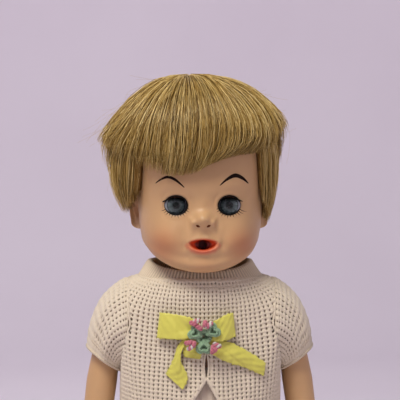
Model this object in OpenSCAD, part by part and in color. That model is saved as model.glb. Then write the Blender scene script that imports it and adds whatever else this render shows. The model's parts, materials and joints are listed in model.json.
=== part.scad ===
// Dressed vinyl baby doll with sleep eyes, a nursing mouth that works a voice unit, and friction-fit limbs.
// Millimetres. Z is up, the face looks along -Y, and the origin is on the floor between the feet.

/* [Head] */
// Height of the chin's lowest point above the floor
chin_z = 296; // [292:1:300]
// Width of the cheeks at ear height
face_w = 69; // [66:1:72]
// Width of the vinyl skull under the hair
skull_w = 78; // [76:1:80]
// Thickness of the soft vinyl
vinyl_t = 2.4; // [2:0.1:2.8]
// Distance between the eye centres
eye_gap = 29; // [28.5:0.1:29.5]
// Radius of the eyeball
eye_r = 8.5; // [8.3:0.1:8.6]
// Width of the eye opening
eye_open_w = 12.8; // [12:0.1:13.5]
// Height of the eye opening
eye_open_h = 10.4; // [9.5:0.1:11]
// Radius of the nursing hole behind the lips
mouth_bore_r = 2.6; // [2.4:0.1:2.8]
// Travel of the plunger behind the nursing hole
plunger_travel = 2; // [1:0.5:2]

/* [Body] */
// Half width of the flat shoulder and armhole faces
shoulder_x = 39; // [38:0.5:40]
// Height of the shoulder axis
shoulder_z = 264; // [262:1:266]
// Height of the hip axis
hip_z = 165; // [163:1:166]
// Half width of the crotch piece between the legs
crotch_x = 13; // [12.5:0.5:13.5]
// Wall of the body shells
shell_t = 2.2; // [1.8:0.1:2.4]
// Radius of the neck
neck_r = 17; // [16:0.5:18]

/* [Clothes] */
// Thickness of the knit
knit_t = 1.8; // [1.4:0.1:2]
// Height of the top's hem
hem_z = 199; // [198:1:206]
// Height of the point of the front opening
vent_z = 238; // [232:1:242]
// Width of the ribbon
ribbon_w = 12; // [10:1:13]

/* [Voice unit] */
// Diameter of one dry cell
cell_d = 10.5; // [10.2:0.1:10.6]
// Length of one dry cell
cell_l = 44; // [43.5:0.5:44.5]
// Radius of the speaker
speaker_r = 17; // [15:1:18]
// Travel of the power switch
switch_travel = 3; // [2:0.5:3]

/* [Fits] */
// Clearance of a part that slides or turns in another
run_gap = 0.05; // [0.02:0.01:0.08]
// Clearance between fixed parts
seat_gap = 0.1; // [0.05:0.05:0.2]

/* [Hidden] */
$fn = 64;
soft_fn = 28;
eps = 0.01;
eye_z = chin_z + 36.5;
eye_y = -29.5;
nose_z = chin_z + 28;
mouth_z = chin_z + 15;
mouth_y = -38;
mouth_tube_r = 4.2;
mouth_step_y = mouth_y + 10;
plunger_r = mouth_bore_r - 0.6;
lid_edge = 31;
lid_r = eye_r - 0.05;
ball_r = eye_r - 0.6;
lash_l = 0.9;
lash_fan = 20;
hip_r = 24;
hip_room_r = hip_r + 5;
thigh_x = crotch_x + 2.4;
shoulder_r = 17;
armhole_r = 26;
arm_hole_r = 11;
leg_hole_r = 11.6;
split_y = 3;
box_y = 8.2;
box_z = 199.2;
box_half = cell_d + 2.9;
cell_y = box_y + cell_d / 2 + 0.4;
cover_y = box_y + cell_d + 1.1;
plate_z = box_z + cell_l + 2.8;
cover_screw_z = box_z + cell_l + 7.7;
cover_top = box_z + cell_l + 10.4;
pants_gap = 0.7;
top_gap = 3.1;
waist_top_z = 243;
speaker_z = 224;
switch_z = 262;
switch_y = 17;
knob_half = 1.5;
collar_depth = 0.86;
bow_z = 258;
bow_y = -40.6;
board_z = 250;
toe_y = -49.8;
screw_spots = [[-27, 238], [27, 238], [-27, 203], [27, 203]];
screw_head_y = 14;

// Colours by material
vinyl = [0.86, 0.65, 0.5];
shell_plastic = [0.85, 0.64, 0.5];
knit = [0.9, 0.86, 0.79];
steel = [0.72, 0.72, 0.74];
black_plastic = [0.15, 0.15, 0.16];

// ---------------------------------------------------------------- helpers

module ball(at, size, fn = soft_fn) {
  translate(at) scale([size[0], size[1], size[2]]) sphere(r = 1, $fn = fn);
}

module cyl_x(from, to, r, y = 0, z = 0, fn = 64) {
  translate([min(from, to), y, z]) rotate([0, 90, 0]) cylinder(r = r, h = abs(to - from), $fn = fn);
}

module cyl_y(x, from, to, r, z, r2 = 0, fn = 64) {
  translate([x, from, z]) rotate([-90, 0, 0]) cylinder(r1 = r, r2 = r2 > 0 ? r2 : r, h = to - from, $fn = fn);
}

module slab(low, high) {
  translate(low) cube(high - low);
}

// Mirrors its children to the doll's right for side -1.
module on_side(side) {
  if (side > 0) children();
  else mirror([1, 0, 0]) children();
}

// ---------------------------------------------------------------- head

// Outer form of the bare head, grown by g: skull, brow, cheeks and chin blended together.
module head_form(g) {
  grow = [g, g, g];
  skull = [skull_w / 2, 46, 45.5];
  brow = [35, 34.5, 38];
  cheeks = [face_w / 2, 31, 27];
  chin = [16, 12.5, 12];
  hull() {
    ball([0, 5, chin_z + 58], skull + grow);
    ball([0, -8, chin_z + 60], brow + grow);
    ball([0, -11, chin_z + 29], cheeks + grow);
    ball([0, -28.5, chin_z + 12], chin + grow);
  }
}

// Space kept free for the collar under the chin.
module collar_room() {
  difference() {
    union() {
      translate([0, 0, chin_z - 20]) cylinder(r = 70, h = 15);
      translate([0, 0, chin_z - 5]) cylinder(r1 = 40, r2 = 29.5, h = 9.6);
    }
    translate([0, 0, chin_z - 30]) cylinder(r = neck_r, h = 60);
  }
}

// Soft vinyl head: eye and mouth openings, nose, ears, and a neck that turns in the body.
module head_skin() color(vinyl) {
  difference() {
    union() {
      head_form(0);
      translate([0, 0, chin_z - 16]) cylinder(r = neck_r, h = 30);
      translate([0, -41.5, nose_z - 1]) scale([1, 1.1, 1]) sphere(r = 5.6);
      for (s = [-1, 1]) {
        translate([s * 35.5, 3, eye_z - 4]) rotate([0, 0, s * 20]) scale([0.35, 0.7, 1]) sphere(r = 12);
      }
    }
    head_form(-vinyl_t);
    collar_room();
    translate([0, 0, chin_z - 20]) cylinder(r = neck_r - 3, h = 40);
    for (s = [-1, 1]) {
      translate([s * eye_gap / 2, -20, eye_z]) rotate([90, 0, 0])
        scale([eye_open_w / 10, eye_open_h / 10, 1]) cylinder(r = 5, h = 40);
      eye_room(s * eye_gap / 2);
    }
    cyl_y(0, -60, mouth_y + 12, mouth_tube_r + seat_gap, mouth_z);
  }
  // Flange inside the body that holds the neck
  difference() {
    translate([0, 0, chin_z - 20]) cylinder(r = neck_r + 3.5, h = 4);
    translate([0, 0, chin_z - 21]) cylinder(r = neck_r - 3, h = 6);
  }
}

// Space behind the opening for the cup, the turning lid and the sweep of the lashes.
module eye_room(x) {
  cyl_y(x, eye_y - 1.2, eye_y + 10, eye_r + 2, eye_z);
  translate([x, eye_y, eye_z]) sphere(r = eye_r + seat_gap);
  lash_half = (lid_r + lash_l) * sin(lash_fan) + 0.4;
  cyl_x(x - lash_half, x + lash_half, eye_r + lash_l + seat_gap, eye_y, eye_z);
}

// Rooted hair as one soft cap, widest where the sides flip out, with an open face.
module hair() color([0.62, 0.48, 0.27]) {
  difference() {
    hull() {
      ball([0, 5, chin_z + 61], [44, 48.5, 48.5]);
      ball([0, -2, chin_z + 74], [36, 42, 33.5]);
      for (s = [-1, 1]) ball([s * 42, -5, chin_z + 80], [9, 20, 10]);
      for (s = [-1, 1]) ball([s * 35, 4, chin_z + 44], [7, 20, 20]);
      ball([0, 32, chin_z + 34], [26, 16, 14]);
    }
    head_form(0.4);
    // Face opening below the fringe
    hull() {
      ball([0, -52, chin_z + 8], [33, 36, 49]);
      ball([0, -52, chin_z + 40], [35, 34, 20]);
    }
    translate([0, 0, chin_z - 1]) cylinder(r1 = 44, r2 = 36, h = 14);
    for (s = [-1, 1]) translate([s * 37, 1, eye_z - 5]) sphere(r = 13);
  }
}

// Lip tube: a wide bore for a teat in front, then a narrower guide for the plunger.
module mouth_tube() color([0.55, 0.16, 0.08]) {
  difference() {
    union() {
      cyl_y(0, mouth_y, mouth_y + 20, mouth_tube_r, mouth_z);
      cyl_y(0, mouth_y + 12 + seat_gap, mouth_y + 14, mouth_tube_r + 1.2, mouth_z);
    }
    cyl_y(0, mouth_y - 1, mouth_step_y, mouth_bore_r, mouth_z);
    cyl_y(0, mouth_step_y - eps, mouth_y + 21, plunger_r + run_gap, mouth_z);
  }
}

// Stem that a teat pushes back, with a stop disc behind the tube.
module mouth_plunger() color([0.9, 0.9, 0.88]) {
  cyl_y(0, mouth_step_y + 0.2, mouth_y + 22, plunger_r, mouth_z);
  cyl_y(0, mouth_y + 20 + seat_gap, mouth_y + 21.5, mouth_tube_r - 0.4, mouth_z);
}

// Push switch that the plunger works, with its two pins.
module mouth_switch() color(black_plastic) {
  front = mouth_y + 22 + plunger_travel + 0.2;
  slab([-5, front, mouth_z - 3.2], [5, front + 6, mouth_z + 3.2]);
  for (x = [-3, 3]) slab([x - 0.4, front + 6 - eps, mouth_z - 1], [x + 0.4, front + 9, mouth_z + 1]);
}

// Two leads that drop down the middle of the neck to a plug on the turning axis.
module head_wires() color([0.75, 0.1, 0.1]) {
  back = mouth_y + 22 + plunger_travel + 6.5;
  for (x = [-3, 3]) {
    cyl_y(x, back + 2.8, 2, 0.6, mouth_z, fn = 16);
    translate([x, 2, mouth_z]) sphere(r = 0.6, $fn = 16);
    translate([x, 2, chin_z - 24]) cylinder(r = 0.6, h = mouth_z - chin_z + 24, $fn = 16);
  }
  translate([0, 0, chin_z - 29]) cylinder(r = 5, h = 6);
}

// ---------------------------------------------------------------- sleep eyes

// Ring behind the eye opening that carries the pin, slotted below for the weight's arm.
module eye_cup() color([0.85, 0.83, 0.78]) {
  difference() {
    cyl_y(eye_gap / 2, eye_y - 0.4, eye_y + 7, eye_r + 1.9, eye_z);
    cyl_y(eye_gap / 2, eye_y - 3, eye_y + 8, eye_r + 0.6, eye_z);
    slab([eye_gap / 2 - 2, eye_y - 3, eye_z - 14], [eye_gap / 2 + 2, eye_y + 8, eye_z]);
    cyl_x(eye_gap / 2 - 12, eye_gap / 2 + 12, 1 + run_gap, eye_y, eye_z);
  }
}

module eye_pin() color([0.7, 0.71, 0.73]) {
  cyl_x(eye_gap / 2 - eye_r - 1.5, eye_gap / 2 + eye_r + 1.5, 1, eye_y, eye_z);
}

// Ball with a front pocket for the iris, turning about the pin.
module eyeball() color([0.93, 0.92, 0.88]) {
  difference() {
    translate([eye_gap / 2, eye_y, eye_z]) sphere(r = ball_r);
    cyl_x(eye_gap / 2 - 12, eye_gap / 2 + 12, 1 + eps, eye_y, eye_z);
    cyl_y(eye_gap / 2, eye_y - 10, eye_y - 4.2, 5.2, eye_z);
  }
}

// Clear domed lens with the iris behind it, set in a pocket of the eyeball.
module iris() color([0.36, 0.43, 0.45]) {
  intersection() {
    translate([eye_gap / 2, eye_y, eye_z]) sphere(r = ball_r);
    cyl_y(eye_gap / 2, eye_y - 10, eye_y - 4.25, 5.15, eye_z);
  }
}

// Lid shell over the top of the eyeball; it covers the eye once the eyeball has turned down.
module eyelid() color([0.84, 0.63, 0.49]) {
  translate([eye_gap / 2, eye_y, eye_z]) intersection() {
    difference() {
      sphere(r = lid_r);
      sphere(r = ball_r + 0.05);
      cyl_x(-12, 12, 1 + eps);
    }
    rotate([-lid_edge, 0, 0]) translate([-20, -20, 0]) cube([40, 20, 20]);
  }
}

// Row of lashes along the lid's edge.
module lashes() color([0.12, 0.09, 0.07]) {
  count = 9;
  translate([eye_gap / 2, eye_y, eye_z]) rotate([-lid_edge + 2, 0, 0])
    for (i = [0:count - 1]) {
      turn = lash_fan * (2 * i / (count - 1) - 1);
      rotate([0, 0, turn]) translate([0, -eye_r + 0.02, 0.35])
        rotate([90, 0, 0]) cylinder(r1 = 0.22, r2 = 0.12, h = lash_l, $fn = 16);
    }
}

// Hanging weight that keeps the eye open while the doll stands.
module eye_weight() color([0.4, 0.4, 0.42]) {
  translate([eye_gap / 2, eye_y, eye_z - 13]) cylinder(r = 0.8, h = 13 - ball_r);
  translate([eye_gap / 2, eye_y, eye_z - 17]) cylinder(r = 2.8, h = 4 + eps);
}

// ---------------------------------------------------------------- body shells

// Bare body form, grown by g: square shoulders, round belly and seat.
module body_form(g, fn = soft_fn) {
  grow = [g, g, g];
  chest = [36, 26, 25];
  belly = [41, 31, 34];
  seat = [39, 27, 34];
  hull() {
    cyl_x(-shoulder_x - g, shoulder_x + g, 20 + g, 0, shoulder_z, fn);
    ball([0, -2, 258], chest + grow, fn);
    ball([0, -3, 214], belly + grow, fn);
    ball([0, 3, 182], seat + grow, fn);
  }
}

// Room for a leg's top: a round socket that runs forward, so that the thigh can swing up to sit.
module hip_room(r, x) {
  for (s = [-1, 1]) {
    cyl_x(s * x, s * 70, r, 0, hip_z);
    slab([min(s * x, s * 70), -60, hip_z - r], [max(s * x, s * 70), 0, hip_z + r]);
  }
}

// Hollow body with the neck ring, arm holes, leg sockets and leg holes, before it is split in two.
module body_shell() {
  difference() {
    union() {
      body_form(0);
      translate([0, 0, chin_z - 20]) cylinder(r = neck_r + 5.5, h = 8);
    }
    difference() {
      body_form(-shell_t);
      hip_room(hip_room_r + shell_t, crotch_x - 0.4 - shell_t);
    }
    hip_room(hip_room_r, crotch_x - 0.4);
    translate([0, 0, 270]) cylinder(r = neck_r + run_gap, h = 30);
    translate([0, 0, 262]) cylinder(r = neck_r + 4, h = chin_z - 16 + 0.1 - 262);
    cyl_x(-60, 60, arm_hole_r + run_gap, 0, shoulder_z);
    for (s = [-1, 1]) cyl_x(s * (crotch_x - 5), s * 30, leg_hole_r + run_gap, 0, hip_z);
  }
}

// Front shell with the sound holes and the screw posts.
module body_front() color(shell_plastic) {
  difference() {
    intersection() {
      body_shell();
      slab([-60, -60, 120], [60, split_y - 0.02, 300]);
    }
    for (ring = [0, 1]) for (i = [0:ring * 5]) speaker_hole(8 * ring, 60 * i);
  }
  intersection() {
    body_form(-1);
    union() for (p = screw_spots) screw_boss(p, split_y - 0.02);
  }
}

// Sound hole in the front shell, off the speaker's axis by r at the given angle.
module speaker_hole(r, angle) {
  cyl_y(r * cos(angle), -50, -20, 1.2, speaker_z + r * sin(angle));
}

// Post in the front shell that takes one shell screw.
module screw_boss(p, to) {
  difference() {
    cyl_y(p[0], -40, to, 3.4, p[1]);
    cyl_y(p[0], -12, to + 1, 1.2, p[1]);
  }
}

// Back shell with screw wells, the battery opening and the slot of the switch.
module body_back() color(shell_plastic) {
  difference() {
    union() {
      intersection() {
        body_shell();
        slab([-60, split_y + 0.02, 120], [60, 60, 300]);
      }
      for (p = screw_spots) cyl_y(p[0], split_y + 0.02, 21, 3.4, p[1]);
    }
    for (p = screw_spots) {
      cyl_y(p[0], split_y - 1, 60, 1.6, p[1]);
      cyl_y(p[0], screw_head_y, 60, 2.9, p[1]);
    }
    slab([-box_half - 0.2, box_y, box_z - 3.1], [box_half + 0.2, 60, cover_top + 0.2]);
    slab([-4.5, 10, switch_z - 1.8], [4.5, 60, switch_z + 1.8]);
  }
}

// Four screws that hold the shells together.
module shell_screws() color(steel) {
  for (p = screw_spots) {
    cyl_y(p[0], -8, screw_head_y + 0.1, 1.15, p[1]);
    cross_head(p[0], screw_head_y + 0.05, 2.7, p[1]);
  }
}

// Round screw head with a cross recess, its underside at y.
module cross_head(x, y, r, z) {
  slot = 0.35;
  difference() {
    cyl_y(x, y, y + 2, r, z);
    slab([x - r * 0.7, y + 1.2, z - slot], [x + r * 0.7, y + 3, z + slot]);
    slab([x - slot, y + 1.2, z - r * 0.7], [x + slot, y + 3, z + r * 0.7]);
  }
}

// ---------------------------------------------------------------- voice unit

// Open-backed tray for two cells.
module battery_box() color([0.2, 0.2, 0.21]) {
  wall = 1.6;
  difference() {
    slab([-box_half, box_y - 2, box_z - 1.2 - wall], [box_half, cover_y - 0.1, plate_z + 0.7 + wall]);
    slab([wall - box_half, box_y, box_z - 1.2], [box_half - wall, cover_y + 5, plate_z + 0.7]);
  }
}

// Flat cover with finger ribs and a hole for its screw.
module battery_cover() color(shell_plastic) {
  cover_t = 1.8;
  difference() {
    slab([-box_half, cover_y, box_z - 2.8], [box_half, cover_y + cover_t, cover_top]);
    cyl_y(0, cover_y - 5, cover_y + 5, 1.5, cover_screw_z);
    for (i = [-2:2]) slab([-8, cover_y + 1.2, box_z + 22 + 3 * i], [8, cover_y + 3, box_z + 23 + 3 * i]);
  }
}

module cover_screw() color(steel) {
  cyl_y(0, cover_y - 5, cover_y + 1.9, 1.3, cover_screw_z);
  cross_head(0, cover_y + 1.85, 2.5, cover_screw_z);
}

// Two dry cells side by side, the left one nub up.
module cells() color([0.2, 0.35, 0.25]) {
  nub = 0.8;
  for (s = [-1, 1]) {
    low = s > 0 ? box_z + 1.96 : box_z + 0.32;
    translate([s * (cell_d / 2 + 0.4), cell_y, low]) cylinder(d = cell_d, h = cell_l);
    translate([s * (cell_d / 2 + 0.4), cell_y, s > 0 ? low + cell_l - eps : low - nub])
      cylinder(d = 3.8, h = nub + eps);
  }
}

// Conical coils that press on the cells' flat ends, wide at the wall.
module contact_springs() color([0.75, 0.75, 0.72]) {
  turns = 3;
  wire_r = 0.39;
  for (s = [-1, 1]) {
    z0 = s > 0 ? box_z - 0.5 : plate_z - 2.44;
    for (i = [0:turns - 1]) translate([s * (cell_d / 2 + 0.4), cell_y, z0 + 0.42 + 0.8 * i])
      rotate_extrude() translate([s > 0 ? 4.2 - i : 2.2 + i, 0]) circle(r = wire_r, $fn = 16);
  }
}

// One plate across the bottom and one for each cell at the top.
module contact_plates() color([0.8, 0.78, 0.7]) {
  slab([1.9 - box_half, cell_y - 4, box_z - 1.1], [box_half - 1.9, cell_y + 4, box_z - 0.5]);
  for (s = [-1, 1]) {
    x = s * (cell_d / 2 + 0.4);
    slab([x - 4, cell_y - 4, plate_z], [x + 4, cell_y + 4, plate_z + 0.6]);
  }
}

module power_switch() color(black_plastic) {
  difference() {
    slab([-8, switch_y - 5, switch_z - 3.5], [8, switch_y - 0.2, switch_z + 3.5]);
    slab([-knob_half - run_gap, switch_y - 3, switch_z - 1.5],
      [knob_half + switch_travel + run_gap, switch_y + 1, switch_z + 1.5]);
  }
}

module switch_knob() color([0.9, 0.88, 0.84]) {
  slab([-knob_half, switch_y - 2.8, switch_z - 1.4], [knob_half, switch_y + 3.4, switch_z + 1.4]);
}

// Metal basket: a flat rim against the front shell and a cone-shaped back.
module speaker_frame() color([0.3, 0.3, 0.32]) {
  difference() {
    union() {
      cyl_y(0, -24, -22.5, speaker_r, speaker_z);
      cyl_y(0, -22.5 - eps, -14, speaker_r - 1, speaker_z, 9.5);
    }
    cyl_y(0, -25, -21.4, speaker_r - 2.4, speaker_z);
    cyl_y(0, -21.5, -15.4, speaker_r - 2.4, speaker_z, 8.2);
    cyl_y(0, -18, -10, 4.6, speaker_z);
  }
}

// Thin paper cone inside the basket.
module speaker_cone() color([0.12, 0.12, 0.12]) {
  difference() {
    cyl_y(0, -23.2, -16.6, speaker_r - 2.6, speaker_z, 4.4);
    cyl_y(0, -23.3, -17.2, speaker_r - 3, speaker_z, 3.9);
  }
}

module speaker_magnet() color([0.45, 0.45, 0.47]) {
  cyl_y(0, -13.9, -7, 9, speaker_z);
}

// Circuit board with a hole in each corner.
module sound_board() color([0.1, 0.35, 0.2]) {
  difference() {
    slab([-20, -4, board_z - 12], [20, -2.4, board_z + 12]);
    for (x = [-17, 17]) for (z = [-9, 9]) cyl_y(x, -5, 0, 1, board_z + z);
  }
}

// Blob chip, chip, capacitor and small parts on the board's front.
module board_parts() color([0.08, 0.08, 0.09]) {
  cyl_y(-8, -6, -4, 4, board_z);
  slab([2, -6, board_z - 3], [9, -4, board_z + 3]);
  cyl_y(12, -10, -4, 2.2, board_z + 6);
  for (i = [0:3]) slab([-14 + 3 * i, -5, board_z + 7], [-12.6 + 3 * i, -4, board_z + 8.2]);
}

// Leads from the board to the speaker, the battery box and the power switch.
module body_wires() color([0.7, 0.1, 0.1]) {
  for (x = [-1.2, 1.2]) {
    translate([13 + x, -8.5, speaker_z]) cylinder(r = 0.5, h = board_z - speaker_z - 13, $fn = 16);
    translate([-12 + x, 4, board_z - 14]) cylinder(r = 0.5, h = 12, $fn = 16);
    cyl_y(-12 + x, -2.3, 4.5, 0.5, board_z - 2, fn = 16);
    cyl_y(5 + x, -2.3, switch_y - 5.2, 0.5, board_z + 10.5, fn = 16);
  }
}

// ---------------------------------------------------------------- limbs (modelled on the doll's left)

// Arm with a snap-in flange, a bent elbow, a thumb and four curled fingers.
module arm() {
  s = shoulder_x;
  z = shoulder_z;
  armpit = [s + 15.7, 0, z - 22];
  upper = [s + 17.4, -0.5, z - 33];
  elbow = [s + 20, -3, z - 54];
  forearm = [s + 22, -11, z - 66];
  wrist = [s + 25, -20, z - 80];
  palm = [s + 27, -26, z - 91];
  // Flange and neck that snap through the body shell
  cyl_x(s - shell_t - 2.6, s - shell_t - 0.4, arm_hole_r + 3, 0, z);
  cyl_x(s - shell_t - 2.6, s + 2, arm_hole_r, 0, z);
  hull() {
    cyl_x(s + 1.1, s + 2.6, shoulder_r, 0, z, 28);
    ball([s + 9, 0, z - 1], [8, 14, 14]);
    ball(armpit, [8.2, 10, 8]);
  }
  hull() {
    ball(armpit, [8.2, 10, 8]);
    ball(upper, [8.8, 9.5, 9]);
    ball(elbow, [8.4, 9, 9]);
  }
  hull() {
    ball(elbow, [8.4, 9, 9]);
    ball(forearm, [8.4, 9, 9]);
    ball(wrist, [6, 6.4, 6]);
  }
  hull() {
    ball(wrist, [6, 6.4, 6]);
    ball(palm, [4.6, 8.4, 7]);
  }
  hull() {
    ball([s + 26.5, -31, z - 88], [2.6, 3, 3]);
    ball([s + 23.5, -38, z - 91], [2.2, 2.6, 2.6]);
  }
  for (i = [0:3]) finger(i);
}

// One curled finger, i from 0 beside the thumb to 3 on the outside of the hand.
module finger(i) {
  finger_r = 2.3;
  finger_l = 9;
  translate([shoulder_x + 27 - 0.3 * i, -33.5 + 4.3 * i, shoulder_z - 93.5 - 1.6 * i])
    rotate([28, 8, 0]) translate([0, 0, abs(i - 1.5) - finger_l]) {
      sphere(r = finger_r, $fn = 20);
      cylinder(r = finger_r, h = finger_l, $fn = 20);
    }
}

// Leg with a snap-in flange, a flat inner face that turns beside the crotch piece, and a foot.
module leg() {
  thigh = [29.7, -1, 118];
  knee = [29, -2, 90];
  calf = [28.5, 2, 62];
  ankle = [27.5, 1.5, 26];
  // Flange and neck that snap through the crotch shell
  cyl_x(crotch_x - 5, crotch_x - 3, leg_hole_r + 0.8, 0, hip_z);
  cyl_x(crotch_x - 5, thigh_x + 2, leg_hole_r, 0, hip_z);
  hull() {
    cyl_x(thigh_x, thigh_x + 5, hip_r, 0, hip_z, 28);
    ball([thigh_x + 12.5, 0, hip_z - 2], [12, 20, 20]);
    ball(thigh, [14.2, 17.5, 20]);
  }
  hull() {
    ball(thigh, [14.2, 17.5, 20]);
    ball(knee, [13.3, 14.5, 12]);
  }
  hull() {
    ball(knee, [13.3, 14.5, 12]);
    ball(calf, [13.8, 15, 18]);
    ball(ankle, [9.6, 10.5, 9]);
  }
  foot(ankle);
}

// Foot with a flat sole; the ankle ball joins it to the calf.
module foot(ankle) {
  heel_r = 10.5;
  hull() {
    ball(ankle, [9.6, 10.5, 9]);
    translate([27.5, 2, 0]) cylinder(r = heel_r, h = 8, $fn = 28);
    translate([28.5, -28, 0]) cylinder(r = heel_r, h = 7, $fn = 28);
  }
  hull() {
    translate([28.5, -28, 0]) cylinder(r = heel_r, h = 7, $fn = 28);
    translate([29, -38, 0]) cylinder(r = heel_r + 1, h = 4.5, $fn = 28);
  }
  for (i = [0:4]) translate([21.4 + 4.1 * i, toe_y + 0.6 * i * i, 3.4]) sphere(r = 3.4 - 0.24 * i, $fn = 20);
}

module arm_left() color(vinyl) on_side(1) arm();
module arm_right() color(vinyl) on_side(-1) arm();
module leg_left() color(vinyl) on_side(1) leg();
module leg_right() color(vinyl) on_side(-1) leg();

// ---------------------------------------------------------------- clothes

// Tapered upright ring with an oval section, wider than it is deep.
module neck_oval(low, high, r1, r2) {
  translate([0, 0, low]) scale([1, collar_depth, 1]) cylinder(r1 = r1, r2 = r2, h = high - low);
}

// Form of the top, grown by g: the bare body with a yoke that rises to the neck.
module top_form(g) {
  hull() {
    body_form(g);
    neck_oval(chin_z - 13, chin_z - 9.6 + g, 33 + g, 29 + g);
  }
}

// Cuts the garments round each shoulder.
module armholes() {
  for (s = [-1, 1]) cyl_x(s * (shoulder_x + 0.6), s * 70, armhole_r, 0, shoulder_z);
}

// Body of the top with round armholes, an open front below the bow and a slit back.
module knit_top() color(knit) {
  difference() {
    top_form(top_gap + knit_t);
    top_form(top_gap);
    neck_oval(280, 310, 31.5, 31.5);
    armholes();
    slab([-70, -70, 100], [70, 70, hem_z]);
    // Front opening, an upside-down V
    translate([0, -20, vent_z]) rotate([90, 0, 0])
      linear_extrude(40) polygon([[0, 0], [20, hem_z - vent_z - 1], [-20, hem_z - vent_z - 1]]);
    // Back opening closed by snaps
    slab([-0.3, 15, hem_z - 1], [0.3, 60, 300]);
  }
}

// Stand-up collar that narrows towards the top, open at the back.
module collar() color([0.88, 0.84, 0.76]) {
  difference() {
    neck_oval(chin_z - 4.4, chin_z + 2.8, 36, 28.6);
    neck_oval(chin_z - 4.5, chin_z + 2.9, 34.2, 26.8);
    slab([-0.3, 15, 280], [0.3, 60, 310]);
  }
}

// Short puffed sleeve; its hem faces down and outwards.
module sleeve() {
  hem = [shoulder_x + 15.5, 0, shoulder_z - 17];
  hem_tilt = -32;
  difference() {
    hull() {
      cyl_x(shoulder_x + 1.4, shoulder_x + 4, armhole_r - 0.5, 0, shoulder_z, 32);
      ball([shoulder_x + 10, 0, shoulder_z + 1], [8.5, 18, 19]);
      translate(hem) rotate([0, hem_tilt, 0]) cylinder(r = 13.5, h = 3, $fn = 32);
    }
    hull() {
      cyl_x(shoulder_x - 1, shoulder_x + 4, armhole_r - 2.3, 0, shoulder_z, 32);
      ball([shoulder_x + 10, 0, shoulder_z + 0.5], [7.2, 16.4, 17.2]);
      translate(hem) rotate([0, hem_tilt, 0]) translate([0, 0, -14]) cylinder(r = 11.9, h = 16, $fn = 32);
    }
  }
}

module sleeve_left() color(knit) on_side(1) sleeve();
module sleeve_right() color(knit) on_side(-1) sleeve();

// Ribbon tied in a flat bow on the chest: two loops and two tails.
module ribbon_bow() color([0.85, 0.8, 0.38]) {
  for (s = [-1, 1]) {
    loop_l = s < 0 ? 20 : 14;
    tail = s < 0 ? [-14, -24] : [33, -17];
    translate([0, bow_y, bow_z + 1]) rotate([0, s * 4, 0])
      slab([min(0, s * loop_l), -1.4, -ribbon_w / 2], [max(0, s * loop_l), 0, ribbon_w / 2]);
    translate([0, bow_y - 0.2, bow_z - 2]) rotate([0, atan2(-tail[1], tail[0]), 0])
      slab([0, 0, -ribbon_w / 3], [norm(tail), 1, ribbon_w / 3]);
  }
}

// Crochet flower sewn on the knot: three green lobes between three small rosettes.
module flower_applique() color([0.45, 0.6, 0.42]) {
  cyl_y(1, bow_y - 3.4, bow_y - 1.5, 3.2, bow_z);
  for (i = [0:2]) {
    lobe = 90 + 120 * i;
    rosette = 30 + 120 * i;
    cyl_y(1 + 5 * cos(lobe), bow_y - 3.2, bow_y - 1.6, 3.1, bow_z + 5 * sin(lobe));
    cyl_y(1 + 6 * cos(rosette), bow_y - 3.9, bow_y - 1.7, 3, bow_z + 6 * sin(rosette));
  }
}

// Snap fasteners of the back opening.
module back_snaps() color([0.8, 0.8, 0.82]) {
  for (i = [0:2]) cyl_y(4, 36.6, 38, 3, hem_z + 14 + 30 * i);
}

// Body of the pants, cut away round each leg socket.
module pants() color(knit) {
  difference() {
    body_form(pants_gap + knit_t);
    body_form(pants_gap);
    slab([-70, -70, waist_top_z], [70, 70, 330]);
    hip_room(hip_room_r + 0.6, crotch_x - 0.8);
    armholes();
  }
}

// Leg of the pants: flat on the inside, where it turns beside the crotch piece.
module pants_leg() {
  cloth = 1.8;
  inner_x = thigh_x - 0.3;
  difference() {
    intersection() {
      hull() {
        cyl_x(inner_x - cloth, inner_x + 9, hip_room_r - 0.6, 0, hip_z, 32);
        ball([thigh_x + 14, 0, hip_z - 2], [15, 24, 24]);
        translate([30.5, -1, 90]) cylinder(r = 19.6, h = 31, $fn = 32);
      }
      slab([inner_x - cloth, -60, 118], [70, 60, 210]);
    }
    intersection() {
      hull() {
        cyl_x(inner_x, inner_x + 9, hip_r + 0.8, 0, hip_z, 32);
        ball([thigh_x + 12.8, 0, hip_z - 2], [13, 21.4, 21.4]);
        translate([30.5, -1, 90]) cylinder(r = 18.2, h = 31, $fn = 32);
      }
      slab([inner_x, -60, 80], [70, 60, 210]);
    }
    cyl_x(0, 30, leg_hole_r + 1, 0, hip_z);
  }
}

module pants_leg_left() color(knit) on_side(1) pants_leg();
module pants_leg_right() color(knit) on_side(-1) pants_leg();

// ---------------------------------------------------------------- assembly

head_skin();
hair();
mouth_tube();
mouth_plunger();
mouth_switch();
head_wires();
on_side(1) eye_cup();  // eye_cup_left
on_side(1) eye_pin();  // eye_pin_left
on_side(1) eyeball();  // eyeball_left
on_side(1) iris();  // iris_left
on_side(1) eyelid();  // eyelid_left
on_side(1) lashes();  // lashes_left
on_side(1) eye_weight();  // eye_weight_left
on_side(-1) eye_cup();  // eye_cup_right
on_side(-1) eye_pin();  // eye_pin_right
on_side(-1) eyeball();  // eyeball_right
on_side(-1) iris();  // iris_right
on_side(-1) eyelid();  // eyelid_right
on_side(-1) lashes();  // lashes_right
on_side(-1) eye_weight();  // eye_weight_right
body_front();
body_back();
shell_screws();
battery_box();
battery_cover();
cover_screw();
cells();
contact_springs();
contact_plates();
power_switch();
switch_knob();
speaker_frame();
speaker_cone();
speaker_magnet();
sound_board();
board_parts();
body_wires();
arm_left();
arm_right();
leg_left();
leg_right();
knit_top();
collar();
sleeve_left();
sleeve_right();
ribbon_bow();
flower_applique();
back_snaps();
pants();
pants_leg_left();
pants_leg_right();
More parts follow.
